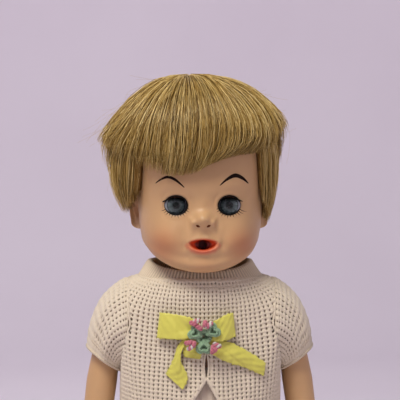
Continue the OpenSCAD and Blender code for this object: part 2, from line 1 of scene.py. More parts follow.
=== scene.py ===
"""Looks of a dressed vinyl baby doll: face, rooted hair, open-work knit clothes, ribbon and crochet flower.

Lengths in this script are millimetres in the part's frame: Z up and the face towards -Y.
"""

import json
import math

import bmesh
import bpy
import numpy as np
from mathutils import Matrix, Vector
from mathutils.bvhtree import BVHTree


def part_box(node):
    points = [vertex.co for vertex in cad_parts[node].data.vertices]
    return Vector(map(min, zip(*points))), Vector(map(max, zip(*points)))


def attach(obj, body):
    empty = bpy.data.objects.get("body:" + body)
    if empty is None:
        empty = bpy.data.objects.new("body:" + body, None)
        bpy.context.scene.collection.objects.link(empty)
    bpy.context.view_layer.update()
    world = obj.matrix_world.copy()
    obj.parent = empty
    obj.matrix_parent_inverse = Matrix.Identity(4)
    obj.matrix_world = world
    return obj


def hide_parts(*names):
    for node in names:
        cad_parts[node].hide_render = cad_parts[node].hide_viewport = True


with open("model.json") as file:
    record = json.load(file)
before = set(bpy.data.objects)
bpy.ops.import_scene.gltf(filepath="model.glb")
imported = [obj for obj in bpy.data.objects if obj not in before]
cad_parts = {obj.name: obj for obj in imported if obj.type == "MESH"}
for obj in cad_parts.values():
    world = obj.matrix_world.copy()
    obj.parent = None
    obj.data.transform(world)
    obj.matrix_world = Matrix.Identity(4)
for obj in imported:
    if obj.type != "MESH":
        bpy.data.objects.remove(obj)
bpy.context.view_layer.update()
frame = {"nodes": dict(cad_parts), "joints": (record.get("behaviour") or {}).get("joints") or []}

MM = 0.001
TAU = 2 * math.pi
rng = np.random.default_rng(7)


# ------------------------------------------------------------------ places taken from the frame

def box_mm(node):
    """Lowest and highest corner of a node."""
    low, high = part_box(node)
    return np.array(low) / MM, np.array(high) / MM


def centre_mm(node):
    """Middle of a node's box."""
    low, high = box_mm(node)
    return (low + high) / 2


def joint_height(name):
    """Height of a joint's axis."""
    return next(j for j in frame["joints"] if j["name"] == name)["pos_m"][2] / MM


EYE = {"left": centre_mm("eye_pin_left"), "right": centre_mm("eye_pin_right")}
EYE_X = abs(EYE["left"][0])
EYE_Y = EYE["left"][1]
EYE_Z = EYE["left"][2]
MOUTH_Z = centre_mm("mouth_tube")[2]
BORE_Y = box_mm("mouth_tube")[0][1]
BORE_R = 2.6
CHIN_Z = MOUTH_Z - 15
SHOULDER_Z = joint_height("arm_left_swing")
SIDE_NAMES = {1: "left", -1: "right"}


# ------------------------------------------------------------------ small tools

def smoothstep(low, high, x):
    """0 at low, 1 at high, with a soft start and end; low may be above high."""
    t = np.clip((x - low) / (high - low), 0, 1)
    return t * t * (3 - 2 * t)


def bell(x, centre, width):
    """Bell curve that is 1 at its centre."""
    return np.exp(-((x - centre) / width) ** 2)


def spline(p0, p1, p2, p3, f):
    """Catmull-Rom point between p1 and p2 at the share f."""
    return p1 + 0.5 * f * (p2 - p0 + f * (2 * p0 - 5 * p1 + 4 * p2 - p3 + f * (3 * (p1 - p2) + p3 - p0)))


def run_length(line):
    """Distance along a polyline at each of its points."""
    return np.concatenate([[0], np.cumsum(np.linalg.norm(np.diff(line, axis=0), axis=1))])


def catmull(keys, t):
    """Catmull-Rom curve through the rows of keys at the float indices t."""
    keys = np.asarray(keys, float)
    t = np.clip(t, 0, len(keys) - 1)
    i = np.minimum(t.astype(int), len(keys) - 2)
    f = (t - i).reshape(np.shape(t) + (1,) * (keys.ndim - 1))
    before = keys[np.maximum(i - 1, 0)]
    after = keys[np.minimum(i + 2, len(keys) - 1)]
    return spline(before, keys[i], keys[i + 1], after, f)


def make_object(name, verts, faces, material):
    """A smooth-shaded mesh object from points in millimetres."""
    mesh = bpy.data.meshes.new(name)
    mesh.from_pydata((np.asarray(verts, float) * MM).tolist(), [], [list(map(int, f)) for f in faces])
    mesh.validate()
    mesh.update()
    mesh.polygons.foreach_set("use_smooth", [True] * len(mesh.polygons))
    mesh.materials.append(material)
    obj = bpy.data.objects.new(name, mesh)
    bpy.context.scene.collection.objects.link(obj)
    return obj


def put(obj, body, slot=None, *replaced):
    """Lets a piece ride on a body and hides the nodes that it replaces; slot is not used."""
    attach(obj, body)
    if replaced:
        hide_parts(*replaced)


def paint(obj, colours):
    """Stores one linear colour per vertex."""
    data = np.ones((len(obj.data.vertices), 4), np.float32)
    data[:, :3] = colours
    layer = obj.data.color_attributes.new(name="paint", type="FLOAT_COLOR", domain="POINT")
    layer.data.foreach_set("color", data.ravel())


def grid_faces(rows, columns, closed):
    """Quads of a rows by columns grid; closed joins the last column to the first."""
    faces = []
    last = columns if closed else columns - 1
    for j in range(rows - 1):
        for i in range(last):
            k = (i + 1) % columns
            faces.append((j * columns + i, j * columns + k, (j + 1) * columns + k, (j + 1) * columns + i))
    return faces


def srgb(r, g, b):
    """Linear colour from a 0..255 screen colour."""
    c = np.array([r, g, b]) / 255
    return np.where(c <= 0.04045, c / 12.92, ((c + 0.055) / 1.055) ** 2.4)


def join_meshes(parts):
    """One (verts, faces) from several."""
    verts = []
    faces = []
    start = 0
    for v, f in parts:
        verts.append(np.asarray(v, float))
        faces += [tuple(int(i) + start for i in face) for face in f]
        start += len(v)
    return np.vstack(verts), faces


def bake_modifiers(obj):
    """Applies every modifier and returns the object."""
    graph = bpy.context.evaluated_depsgraph_get()
    mesh = bpy.data.meshes.new_from_object(obj.evaluated_get(graph), depsgraph=graph)
    old = obj.data
    obj.modifiers.clear()
    obj.data = mesh
    bpy.data.meshes.remove(old)
    return obj


def add_subsurf(obj):
    """One level of subdivision."""
    mod = obj.modifiers.new("smooth", "SUBSURF")
    mod.levels = 1
    mod.render_levels = 1


# ------------------------------------------------------------------ materials

def new_material(name, colour, roughness, **inputs):
    """Principled material; inputs are further sockets, with _ for each space."""
    mat = bpy.data.materials.new(name)
    mat.use_nodes = True
    mat.diffuse_color = (*[float(c) for c in colour], 1)
    shader = mat.node_tree.nodes["Principled BSDF"]
    shader.inputs["Base Color"].default_value = (*[float(c) for c in colour], 1)
    shader.inputs["Roughness"].default_value = roughness
    for key, value in inputs.items():
        shader.inputs[key.replace("_", " ")].default_value = value
    return mat


def shader_of(mat):
    """The material's Principled node."""
    return mat.node_tree.nodes["Principled BSDF"]


def add_node(mat, kind, **values):
    """New node with its properties or input sockets set."""
    node = mat.node_tree.nodes.new(kind)
    for key, value in values.items():
        if hasattr(node, key):
            setattr(node, key, value)
        else:
            node.inputs[key.replace("_", " ")].default_value = value
    return node


def link(mat, a, b):
    """Joins an output socket to an input socket."""
    mat.node_tree.links.new(a, b)


def noise_node(mat, size_mm, detail=3.0, distortion=0.0, stretch=(1, 1, 1)):
    """Noise in object space whose features are about size_mm across."""
    where = add_node(mat, "ShaderNodeTexCoord")
    mapping = add_node(mat, "ShaderNodeMapping")
    mapping.inputs["Scale"].default_value = stretch
    noise = add_node(mat, "ShaderNodeTexNoise")
    noise.inputs["Scale"].default_value = 1 / (size_mm * MM)
    noise.inputs["Detail"].default_value = detail
    noise.inputs["Distortion"].default_value = distortion
    link(mat, where.outputs["Object"], mapping.inputs["Vector"])
    link(mat, mapping.outputs["Vector"], noise.inputs["Vector"])
    return noise


def add_bump(mat, height, strength, depth_mm):
    """Bump from a height socket."""
    bump = add_node(mat, "ShaderNodeBump")
    bump.inputs["Strength"].default_value = strength
    bump.inputs["Distance"].default_value = depth_mm * MM
    link(mat, height, bump.inputs["Height"])
    link(mat, bump.outputs["Normal"], shader_of(mat).inputs["Normal"])


def vary_roughness(mat, noise, low, high):
    """Roughness between low and high by a noise node."""
    ramp = add_node(mat, "ShaderNodeMapRange")
    ramp.inputs["To Min"].default_value = low
    ramp.inputs["To Max"].default_value = high
    link(mat, noise.outputs["Fac"], ramp.inputs["Value"])
    link(mat, ramp.outputs["Result"], shader_of(mat).inputs["Roughness"])


def vary_colour(mat, source, dark, light):
    """Base colour between dark and light by a 0..1 source socket."""
    mix = add_node(mat, "ShaderNodeMix", data_type="RGBA")
    mix.inputs[6].default_value = (*[float(c) for c in dark], 1)
    mix.inputs[7].default_value = (*[float(c) for c in light], 1)
    link(mat, source, mix.inputs[0])
    link(mat, mix.outputs[2], shader_of(mat).inputs["Base Color"])


def paint_colour(mat):
    """Socket of the colour painted on each vertex."""
    return add_node(mat, "ShaderNodeAttribute", attribute_name="paint").outputs["Color"]


SKIN = srgb(203, 162, 117)
BLUSH = srgb(186, 110, 70)
LIP = srgb(206, 96, 66)
MOUTH_RED = srgb(214, 78, 36)
# Painted shade deep in the mouth, towards the nursing hole.
MOUTH_SHADE = srgb(96, 14, 6)


def vinyl_material(name):
    """Soft vinyl with a painted colour and a faint mottle."""
    mat = new_material(name, SKIN, 0.42, Subsurface_Weight=0.1, Subsurface_Scale=0.0015)
    shader = shader_of(mat)
    shader.inputs["Subsurface Radius"].default_value = (1.0, 0.45, 0.25)
    shader.inputs["Specular IOR Level"].default_value = 0.42
    mottle = noise_node(mat, 9, 4)
    tone = add_node(mat, "ShaderNodeMix", data_type="RGBA", blend_type="MULTIPLY")
    shade = add_node(mat, "ShaderNodeMapRange")
    shade.inputs["To Min"].default_value = 0.93
    shade.inputs["To Max"].default_value = 1.05
    link(mat, mottle.outputs["Fac"], shade.inputs["Value"])
    tone.inputs[0].default_value = 1
    link(mat, paint_colour(mat), tone.inputs[6])
    link(mat, shade.outputs["Result"], tone.inputs[7])
    link(mat, tone.outputs[2], shader.inputs["Base Color"])
    vary_roughness(mat, noise_node(mat, 4, 2), 0.36, 0.5)
    add_bump(mat, noise_node(mat, 0.5, 2).outputs["Fac"], 0.12, 0.08)
    return mat


def paint_skin(obj, warm):
    """Skin colour that turns to blush where warm is near 1; on the arms and legs warm also holds painted shade in the
    creases.
    """
    warm = warm[:, None]
    paint(obj, SKIN * (1 - warm) + BLUSH * warm)


face_vinyl = vinyl_material("face_vinyl")
limb_vinyl = vinyl_material("limb_vinyl")


# ------------------------------------------------------------------ head

# Rings of the bare head from the neck to the crown, heights above the chin's lowest point:
# front height, front reach, side height, half width, side y, back height, back reach.
HEAD_RINGS = np.array([
    (-14, 17.0, -14, 17.0, 0, -14, 17.0),
    (3.0, 16.9, 5.0, 16.9, 0, 7.0, 17.0),
    (5.4, 22.5, 9.5, 22.0, 0, 11.5, 23.5),
    (4.3, 29.3, 10.8, 28.2, -1, 14.0, 30.5),
    (0.0, 35.8, 12.8, 31.2, -3, 18.0, 35.5),
    (3.2, 40.4, 16.0, 33.0, -4, 22.5, 40.0),
    (8.6, 40.6, 20.0, 33.8, -4, 28.0, 44.0),
    (15.0, 41.2, 24.5, 34.6, -3.5, 35.0, 47.5),
    (22.0, 41.2, 29.5, 35.0, -3, 42.0, 50.0),
    (29.0, 40.8, 35.0, 35.4, -2, 49.0, 51.3),
    (36.5, 40.6, 41.0, 36.0, -1, 56.0, 51.3),
    (45.5, 41.6, 48.5, 37.0, 1, 62.5, 50.5),
    (55.5, 42.0, 57.0, 38.2, 2, 69.0, 48.7),
    (65.5, 41.0, 66.0, 38.8, 3, 75.5, 46.0),
    (75.5, 37.8, 75.0, 37.6, 4, 82.5, 41.5),
    (85.0, 31.5, 84.5, 33.6, 5, 89.5, 34.0),
    (93.5, 21.5, 93.0, 25.2, 5, 96.0, 23.5),
    (99.5, 8.5, 99.5, 13.0, 5.5, 100.8, 12.5),
    (102.2, -4.6, 102.2, 1.2, 6, 102.2, 7.4),
])
HEAD_COLUMNS = 176
FACE_CROWDING = 0.36
ROW_HEIGHT = 1.2


def head_surface(theta, t):
    """Points of the bare head at azimuth theta (0 at the face, towards +X) and ring index t."""
    ring = catmull(HEAD_RINGS, t)
    zf, reach_f, zs, half_w, y_s, zb, reach_b = np.moveaxis(ring, -1, 0)
    c = np.cos(theta)
    s = np.sin(theta)
    fullness = 1 - 0.13 * np.clip(c, 0, 1)
    side = np.sign(s) * np.abs(s) ** fullness
    ahead = np.abs(c) ** fullness
    front = c > 0
    y = np.where(front, y_s - (reach_f + y_s) * ahead, y_s + (reach_b - y_s) * ahead)
    z = np.where(front, zs + (zf - zs) * ahead ** 2, zs + (zb - zs) * ahead ** 2)
    return np.stack([half_w * side, y, z + CHIN_Z], -1)


def locate_on_face(x, z, theta, t):
    """Surface coordinates of the face point at (x, z), by Newton steps from a first guess."""
    step = 1e-3
    for _ in range(12):
        p = head_surface(theta, t)
        p_theta = (head_surface(theta + step, t) - p) / step
        p_t = (head_surface(theta, t + step) - p) / step
        ex = x - p[..., 0]
        ez = z - p[..., 2]
        det = p_theta[..., 0] * p_t[..., 2] - p_t[..., 0] * p_theta[..., 2]
        theta = theta + np.clip((ex * p_t[..., 2] - ez * p_t[..., 0]) / det, -0.2, 0.2)
        t = t + np.clip((ez * p_theta[..., 0] - ex * p_theta[..., 2]) / det, -0.5, 0.5)
    return theta, t


def head_rows():
    """Ring indices of the mesh rows, spaced evenly up the face."""
    fine = np.linspace(0, len(HEAD_RINGS) - 1, 2000)
    line = head_surface(np.zeros_like(fine), fine)
    length = run_length(line)
    count = int(length[-1] / ROW_HEIGHT)
    return np.interp(np.linspace(0, length[-1], count), length, fine)


# Openings of the face: half width a, half height up and down, rings inside the outline and in all, ring spacing.
EYE_OPENING = dict(a=6.05, up=5.25, down=5.0, inner=5, outer=10, step=1.25)
MOUTH_OPENING = dict(a=7.6, up=1.9, down=3.7, inner=5, outer=9, step=1.15)
MOUTH_X = 0
MOUTH_TOP_Z = CHIN_Z + 16.2


def opening_shape(phi, grow, shape):
    """Outline point of an opening at angle phi, grown by grow."""
    x = (shape["a"] + grow) * np.cos(phi)
    b = np.where(np.sin(phi) > 0, shape["up"], shape["down"]) + grow
    return x, b * np.sin(phi)


def ring_angles(di, dj):
    """Angle of grid offset (di, dj) when each square ring is stretched to a circle."""
    k = np.maximum(np.abs(di), np.abs(dj)).astype(float)
    k[k == 0] = 1
    return np.where(
        np.abs(di) >= np.abs(dj),
        np.where(di > 0, dj / k * math.pi / 4, math.pi - dj / k * math.pi / 4),
        np.where(dj > 0, math.pi / 2 - di / k * math.pi / 4, -math.pi / 2 + di / k * math.pi / 4),
    )


def open_face(xz, grid, centre, shape):
    """Bends a square block of the grid into rings round an opening; returns the ring numbers."""
    cx, cz = centre
    near = np.argmin((grid[..., 0] - cx) ** 2 + (grid[..., 2] - cz) ** 2 + (grid[..., 1] > 0) * 1e6)
    j0, i0 = np.unravel_index(near, grid.shape[:2])
    rows, columns = grid.shape[:2]
    jj, ii = np.meshgrid(np.arange(rows), np.arange(columns), indexing="ij")
    di = (ii - i0 + columns // 2) % columns - columns // 2
    dj = jj - j0
    ring = np.maximum(np.abs(di), np.abs(dj))
    phi = ring_angles(di, dj)
    inner = shape["inner"]
    outside = ring - inner
    grow = np.where(outside > 0, outside * shape["step"], 0)
    ox, oz = opening_shape(phi, grow, shape)
    scale = np.where(outside < 0, ring / inner, 1)
    weight = 1 - smoothstep(1, shape["outer"] - inner, outside)
    block = ring <= shape["outer"]
    tx = cx + ox * scale
    tz = cz + oz * scale
    xz[block, 0] += (weight * (tx - grid[..., 0]))[block]
    xz[block, 1] += (weight * (tz - grid[..., 2]))[block]
    return ring


def mouth_distance(x, z):
    """Signed distance from the mouth's outline, and height above its widest line."""
    dx = x - MOUTH_X
    dz = z - MOUTH_TOP_Z
    half = np.where(dz > 0, MOUTH_OPENING["up"], MOUTH_OPENING["down"])
    angle = np.arctan2(dz / half, dx / MOUTH_OPENING["a"])
    ox, oz = opening_shape(angle, 0, MOUTH_OPENING)
    gap = np.hypot(dx, dz) - np.hypot(ox, oz)
    return gap, dz


def eye_distance(x, z):
    """Signed distance from the nearer eye opening's outline."""
    dx = np.abs(x) - EYE_X
    dz = z - EYE_Z
    angle = np.arctan2(dz / EYE_OPENING["up"], dx / EYE_OPENING["a"])
    ox, oz = opening_shape(angle, 0, EYE_OPENING)
    return np.hypot(dx, dz) - np.hypot(ox, oz)


def face_relief(x, z):
    """How far the face stands out from the bare head, in millimetres."""
    h = z - CHIN_Z
    ax = np.abs(x)
    d = 2.9 * bell(ax, 20, 9.5) * bell(h, 17.5, 9)
    d += 1.9 * bell(x, 0, 8) * bell(h, 4.6, 4.4)
    d -= 1.5 * bell(x, 0, 8.5) * bell(h, 8.4, 1.7)
    d += 2.2 * bell(x, 0, 11.5) * bell(h, 15.5, 6.5)
    d -= 0.8 * bell(ax, 11.6, 2.6) * bell(h, 19.5, 5)
    d -= 1.0 * bell(ax, 10.2, 1.8) * bell(h, 14.6, 2.4)
    d -= 1.7 * bell(ax, EYE_X, 8.6) * bell(h, EYE_Z - CHIN_Z + 0.5, 6.6)
    d += 1.0 * bell(ax, EYE_X, 9.5) * bell(h, 47.5, 5)
    # Nose: bridge, ball, wings and nostrils
    bridge = smoothstep(43, 34, h) * smoothstep(24.5, 31, h)
    d += 1.0 * bell(x, 0, 4.2) * bridge
    rise = smoothstep(35.2, 28.8, h) * smoothstep(22.0, 28.4, h)
    d += 5.6 * np.exp(-(ax / 4.3) ** 2.5) * rise
    d += 3.2 * bell(ax, 5.6, 1.7) * bell(h, 27.0, 2.3)
    d -= 0.3 * bell(ax, 8.4, 1.3) * bell(h, 26.8, 2.4)
    d -= 1.2 * bell(ax, 3.2, 0.9) * bell(h, 25.4, 0.8)
    # Upper lip: philtrum between two soft ridges
    d -= 0.55 * bell(x, 0.4, 1.1) * bell(h, 20.8, 1.9)
    d += 0.3 * bell(ax, 2.5, 0.9) * bell(h, 20.4, 2.0)
    gap, dz = mouth_distance(x, z)
    upper = smoothstep(-0.4, 0.6, dz)
    d += 0.9 * upper * bell(gap, 0.7, 0.9) * bell(x, 0, 8)
    d += 1.7 * (1 - upper) * bell(gap, 1.1, 1.2) * bell(x, 0, 7)
    # Puffy lids round the eyes
    lid = eye_distance(x, z)
    d += 0.55 * bell(lid, 1.0, 0.9)
    d -= 0.25 * bell(lid, 2.8, 0.8) * smoothstep(0, 3, z - EYE_Z)
    return d


def face_colours(points, mouth_ring, eye_ring):
    """Skin with blushed cheeks, lips and a red mouth; painted shade in the nostrils and deep in the mouth, and dark
    eye rims that are partly painted shade.
    """
    x, y, z = points.T
    h = z - CHIN_Z
    front = smoothstep(-12, -26, y)
    colour = np.tile(SKIN, (len(x), 1))

    def tint(amount, target):
        """Mixes the target colour in where amount is near 1."""
        nonlocal colour
        colour = colour * (1 - amount[:, None]) + target * amount[:, None]

    tint(0.62 * front * bell(np.abs(x), 22, 8.5) * bell(h, 14.5, 8.5), BLUSH)
    tint(0.22 * front * bell(x, 0, 7) * bell(h, 3, 4), BLUSH)
    # Painted shade: the nostril pits are painted dark.
    nostril = np.hypot((np.abs(x) - 3.2) / 1.25, (h - 25.5) / 0.85)
    tint(front * smoothstep(1.35, 0.75, nostril), srgb(84, 36, 12))
    tint(0.35 * bell(np.abs(x), 36, 4) * bell(h, 32, 8) * bell(y, 4, 8), BLUSH)
    gap, dz = mouth_distance(x, z)
    lower = smoothstep(0.6, -0.8, dz)
    lip_width = 0.55 + 2.1 * lower
    lip = smoothstep(lip_width + 0.5, lip_width - 0.4, gap) * front * bell(x, 0, 12)
    tint(0.92 * lip * (gap > -0.6), LIP)
    tint((mouth_ring < MOUTH_OPENING["inner"]) * 1.0, MOUTH_RED)
    # Painted shade: the mouth darkens towards the nursing hole.
    tint(smoothstep(3.0, 1.9, mouth_ring.astype(float)), MOUTH_SHADE)
    # The inner wall of each eye opening is painted near black and its outline ring dark brown: partly painted shade of
    # the gap round the ball, partly the dark of the lashes.
    tint((eye_ring < EYE_OPENING["inner"]) * 1.0, srgb(22, 14, 10))
    rim = eye_ring == EYE_OPENING["inner"]
    tint(rim * 0.75, srgb(52, 32, 20))
    return colour


def build_head():
    """Head shell: a grid bent into rings round the eyes and mouth, with the features stood out from it."""
    u = np.arange(HEAD_COLUMNS) / HEAD_COLUMNS * TAU
    theta = u - FACE_CROWDING * np.sin(u)
    theta = (theta + math.pi) % TAU - math.pi
    tt, th = np.meshgrid(head_rows(), theta, indexing="ij")
    grid = head_surface(th, tt)
    rows, columns = grid.shape[:2]
    xz = grid[..., [0, 2]].copy()
    eye_rings = {side: open_face(xz, grid, (side * EYE_X, EYE_Z), EYE_OPENING) for side in (1, -1)}
    mouth_ring = open_face(xz, grid, (MOUTH_X, MOUTH_TOP_Z), MOUTH_OPENING)
    moved = np.abs(xz - grid[..., [0, 2]]).max(-1) > 1e-6
    th[moved], tt[moved] = locate_on_face(xz[moved][:, 0], xz[moved][:, 1], th[moved], tt[moved])
    p = head_surface(th, tt)
    # Stand the features out along the surface normal, which leans forward on the face
    step = 1e-3
    n = np.cross(head_surface(th + step, tt) - p, head_surface(th, np.minimum(tt + step, tt.max())) - p)
    n /= np.maximum(np.linalg.norm(n, axis=-1, keepdims=True), 1e-12)
    forward = np.array([0, -1, 0])
    n = n * 0.45 + forward * 0.55
    n /= np.linalg.norm(n, axis=-1, keepdims=True)
    mask = smoothstep(-14, -24, p[..., 1])
    p = p + n * (face_relief(p[..., 0], p[..., 2]) * mask)[..., None]
    # Lids turn in behind the outline
    keep = np.ones((rows, columns), bool)
    outline = EYE_OPENING["inner"]
    for side, ring in eye_rings.items():
        for k, inward, scale in ((outline - 1, 0.9, 0.955), (outline - 2, 2.6, 0.99)):
            sel = ring == k
            phi = ring_angles(*ring_offsets(ring, sel))
            ox, oz = opening_shape(phi, 0, EYE_OPENING)
            x = side * EYE_X + ox * scale
            z = EYE_Z + oz * scale
            p[sel] = np.stack([x, surface_y(x, z) + inward, z], -1)
        keep &= ring >= outline - 2
    # The mouth runs in as a shallow bowl to the rim of the nursing hole
    outline = MOUTH_OPENING["inner"]
    for k in range(outline - 1, 0, -1):
        sel = mouth_ring == k
        phi = ring_angles(*ring_offsets(mouth_ring, sel))
        share = 1 - (k - 1) / (outline - 1)
        ox, oz = opening_shape(phi, 0, MOUTH_OPENING)
        bx = BORE_R * np.cos(phi)
        bz = MOUTH_Z + BORE_R * np.sin(phi)
        x = (MOUTH_X + ox) * (1 - share) + bx * share
        z = (MOUTH_TOP_Z + oz) * (1 - share) + bz * share
        lip_y = surface_y(MOUTH_X + ox, MOUTH_TOP_Z + oz)
        y = lip_y * (1 - share ** 0.6) + (BORE_Y + 0.3) * share ** 0.6
        p[sel] = np.stack([x, y, z], -1)
    keep &= mouth_ring >= 1
    kept = keep.ravel()
    faces = [f for f in grid_faces(rows, columns, True) if all(kept[i] for i in f)]
    top = (rows - 1) * columns
    faces.append(tuple(top + i for i in range(columns)))
    points = p.reshape(-1, 3)
    used = np.zeros(len(points), bool)
    used[np.unique(np.concatenate([np.array(f) for f in faces]))] = True
    index = np.cumsum(used) - 1
    faces = [tuple(index[list(f)]) for f in faces]
    eye_ring = np.minimum(eye_rings[1], eye_rings[-1])
    colours = face_colours(points, mouth_ring.ravel(), eye_ring.ravel())
    obj = make_object("head_face", points[used], faces, face_vinyl)
    paint(obj, colours[used])
    add_subsurf(obj)
    return obj


def ring_offsets(ring, sel):
    """Column and row offsets of the selected vertices from their block's centre."""
    columns = ring.shape[1]
    centre = np.argwhere(ring == 0)[0]
    jj, ii = np.nonzero(sel)
    di = (ii - centre[1] + columns // 2) % columns - columns // 2
    return di, jj - centre[0]


def surface_y(x, z):
    """Depth of the finished face at (x, z)."""
    guess_theta = np.arctan2(x, np.full_like(x, 34.0))
    guess_t = np.interp(z - CHIN_Z, HEAD_RINGS[4:, 0], np.arange(4, len(HEAD_RINGS)))
    th, tt = locate_on_face(x, z, guess_theta, guess_t)
    p = head_surface(th, tt)
    return p[..., 1] - face_relief(x, z) * 0.9


head = build_head()
put(head, "head", "vinyl", "head_skin")


# ------------------------------------------------------------------ ears, eyes, brows and lashes

def tree_of(obj):
    """Ray-casting tree of a finished object."""
    done = obj.evaluated_get(bpy.context.evaluated_depsgraph_get())
    mesh = done.to_mesh()
    verts = [(obj.matrix_world @ v.co) / MM for v in mesh.vertices]
    faces = [list(p.vertices) for p in mesh.polygons]
    done.to_mesh_clear()
    return BVHTree.FromPolygons(verts, faces)


def on_face(tree, x, z, lift):
    """Point of the face seen from the front at (x, z), lifted off along the surface normal."""
    hit, normal = tree.ray_cast(Vector((x, -90, z)), Vector((0, 1, 0)))[:2]
    if normal.y > 0:
        normal = -normal
    return hit + normal * lift


def stroke_mesh(tree, points, widths, lift=0.07, steps=14, crown=0.12):
    """A painted stroke on the face: a low ridge that follows points with the given widths."""
    t = np.linspace(0, len(points) - 1, steps)
    line = catmull(np.asarray(points, float), t)
    width = np.interp(t, np.arange(len(widths)), widths)
    verts = []
    for k in range(steps):
        a = line[max(k - 1, 0)]
        b = line[min(k + 1, steps - 1)]
        d = (b - a) / max(np.linalg.norm(b - a), 1e-9)
        side = np.array([-d[1], d[0]])
        for off, up in ((-0.5, 0), (-0.25, crown), (0.25, crown), (0.5, 0)):
            q = line[k] + side * off * width[k]
            verts.append(on_face(tree, q[0], q[1], lift * 0.3 + up * 0.8))
    return np.array([tuple(v) for v in verts]), grid_faces(steps, 4, False)


def build_ear(side):
    """Outer ear: helix roll, groove, inner fold, bowl and lobe, as a polar grid that wraps behind."""
    spokes = 48
    front_rows = [*np.linspace(0, 1, 19), *np.linspace(1.04, 1.2, 5)]
    rows = [*front_rows, 1.12, 0.95, 0.7]
    verts = []
    for n, k in enumerate(rows):
        behind = n >= len(front_rows)
        for i in range(spokes):
            a = TAU * i / spokes
            up = math.sin(a)
            out = math.cos(a)
            reach = 12.6 - 2.2 * bell(a, 1.5 * math.pi, 0.9) + 0.9 * bell(a, 0.45 * math.pi, 0.8)
            half = 7.6 * (0.86 + 0.16 * up)
            r = min(k, 1.06)
            bowl = -2.6 * bell(k, 0.12, 0.36) * bell(up * k, -0.12, 0.5)
            inner_fold = 1.5 * bell(k, 0.56, 0.12) * smoothstep(-0.9, 0.2, up) * smoothstep(-0.5, 0.3, out)
            groove = -1.1 * bell(k, 0.76, 0.1) * smoothstep(-0.8, 0.0, up)
            helix = 1.9 * bell(k, 1.0, 0.15) * smoothstep(-1.05, -0.35, up + 0.3 * out)
            lobe = 1.0 * bell(up * k, -0.85, 0.3)
            height = bowl + inner_fold + groove + helix + lobe + 1.4
            if k > 1.0:
                height -= (k - 1.0) * 16
            if behind:
                height = -2.4
                r = k
            verts.append((height, out * half * r, up * reach * r))
    verts = np.array(verts)
    lean = math.radians(30)
    roll = math.radians(-8)
    h, w, z = verts.T
    w, z = w * math.cos(roll) - z * math.sin(roll), w * math.sin(roll) + z * math.cos(roll)
    x = h * math.cos(lean) + w * math.sin(lean)
    y = w * math.cos(lean) - h * math.sin(lean)
    centre = np.array([34.6, 4.5, CHIN_Z + 32.5])
    points = np.stack([side * (centre[0] + x), centre[1] + y, centre[2] + z], -1)
    faces = grid_faces(len(rows), spokes, True)
    faces.append(tuple(range(spokes))[::-1])
    last = (len(rows) - 1) * spokes
    faces.append(tuple(last + i for i in range(spokes)))
    if side < 0:
        faces = [f[::-1] for f in faces]
    ear = make_object(f"ear_{SIDE_NAMES[side]}", points, faces, face_vinyl)
    paint_skin(ear, bell(np.linalg.norm(verts[:, 1:], axis=1), 0, 6) * 0.35)
    add_subsurf(ear)
    put(ear, "head", "vinyl")


paint_brown = new_material("paint_brown", srgb(30, 16, 10), 0.85, Specular_IOR_Level=0.15)
add_bump(paint_brown, noise_node(paint_brown, 0.4).outputs["Fac"], 0.3, 0.05)
# Dark brown of the nostrils: painted shade in the nostril pits.
nostril_brown = new_material("nostril_brown", srgb(100, 52, 26), 0.8, Specular_IOR_Level=0.15)
lash_black = new_material("lash_black", srgb(10, 7, 6), 0.7, Specular_IOR_Level=0.2)
vary_roughness(lash_black, noise_node(lash_black, 0.5), 0.6, 0.8)

# Brow lines as x and height above the chin, and their widths.
BROWS = {
    -1: [(-25.6, 48.5), (-22.6, 50.7), (-18.7, 52.0), (-14.6, 50.2), (-10.2, 46.4)],
    1: [(9.0, 47.4), (12.8, 50.6), (17.4, 52.8), (21.6, 51.4), (25.2, 48.4)],
}
BROW_WIDTHS = {-1: [0.3, 1.0, 1.6, 1.4, 0.4], 1: [0.35, 1.35, 2.3, 1.8, 0.4]}


NOSTRIL = ((1.9, 25.1), (2.9, 25.6), (3.9, 26.0))


def build_brows(tree):
    """Painted brows; the two differ a little, as brushed ones do."""
    parts = []
    for side, line in BROWS.items():
        points = [(x, CHIN_Z + h) for x, h in line]
        parts.append(stroke_mesh(tree, points, BROW_WIDTHS[side], steps=26))
    put(make_object("brows", *join_meshes(parts), paint_brown), "head")


def build_nostrils(tree):
    """Dark stroke under each side of the nose: painted shade in the nostrils."""
    parts = []
    for side in (-1, 1):
        points = [(side * x, CHIN_Z + h) for x, h in NOSTRIL]
        parts.append(stroke_mesh(tree, points, [0.5, 1.5, 0.5], steps=12, lift=0.1, crown=0.06))
    put(make_object("nostrils", *join_meshes(parts), nostril_brown), "head")


LOWER_LASH_TURNS = [-162, -150, -137, -124, -111, -98, -85, -72, -59, -47, -36, -25]


def build_lower_lashes(tree):
    """Short painted strokes round the lower rim, longer at the outer corner."""
    parts = []
    for side in (-1, 1):
        for k, turn in enumerate(np.radians(LOWER_LASH_TURNS)):
            ox, oz = opening_shape(np.array(turn), 0.5, EYE_OPENING)
            outer = 2.2 if side > 0 else 0.6
            length = 1.0 + 0.5 * (k % 2) + outer * smoothstep(-60, -28, math.degrees(turn))
            lean = np.array([math.cos(turn), math.sin(turn)])
            start = np.array([ox, oz])
            bend = np.array([0.25, 0.1]) * length * (1 if turn > -math.pi / 2 else -1)
            line = [start, start + lean * length * 0.5, start + lean * length + bend * 0.4]
            points = [(side * (EYE_X + p[0]), EYE_Z + p[1]) for p in line]
            parts.append(stroke_mesh(tree, points, [0.42, 0.28, 0.06], steps=7, crown=0.07))
    put(make_object("painted_lashes", *join_meshes(parts), paint_brown), "head")


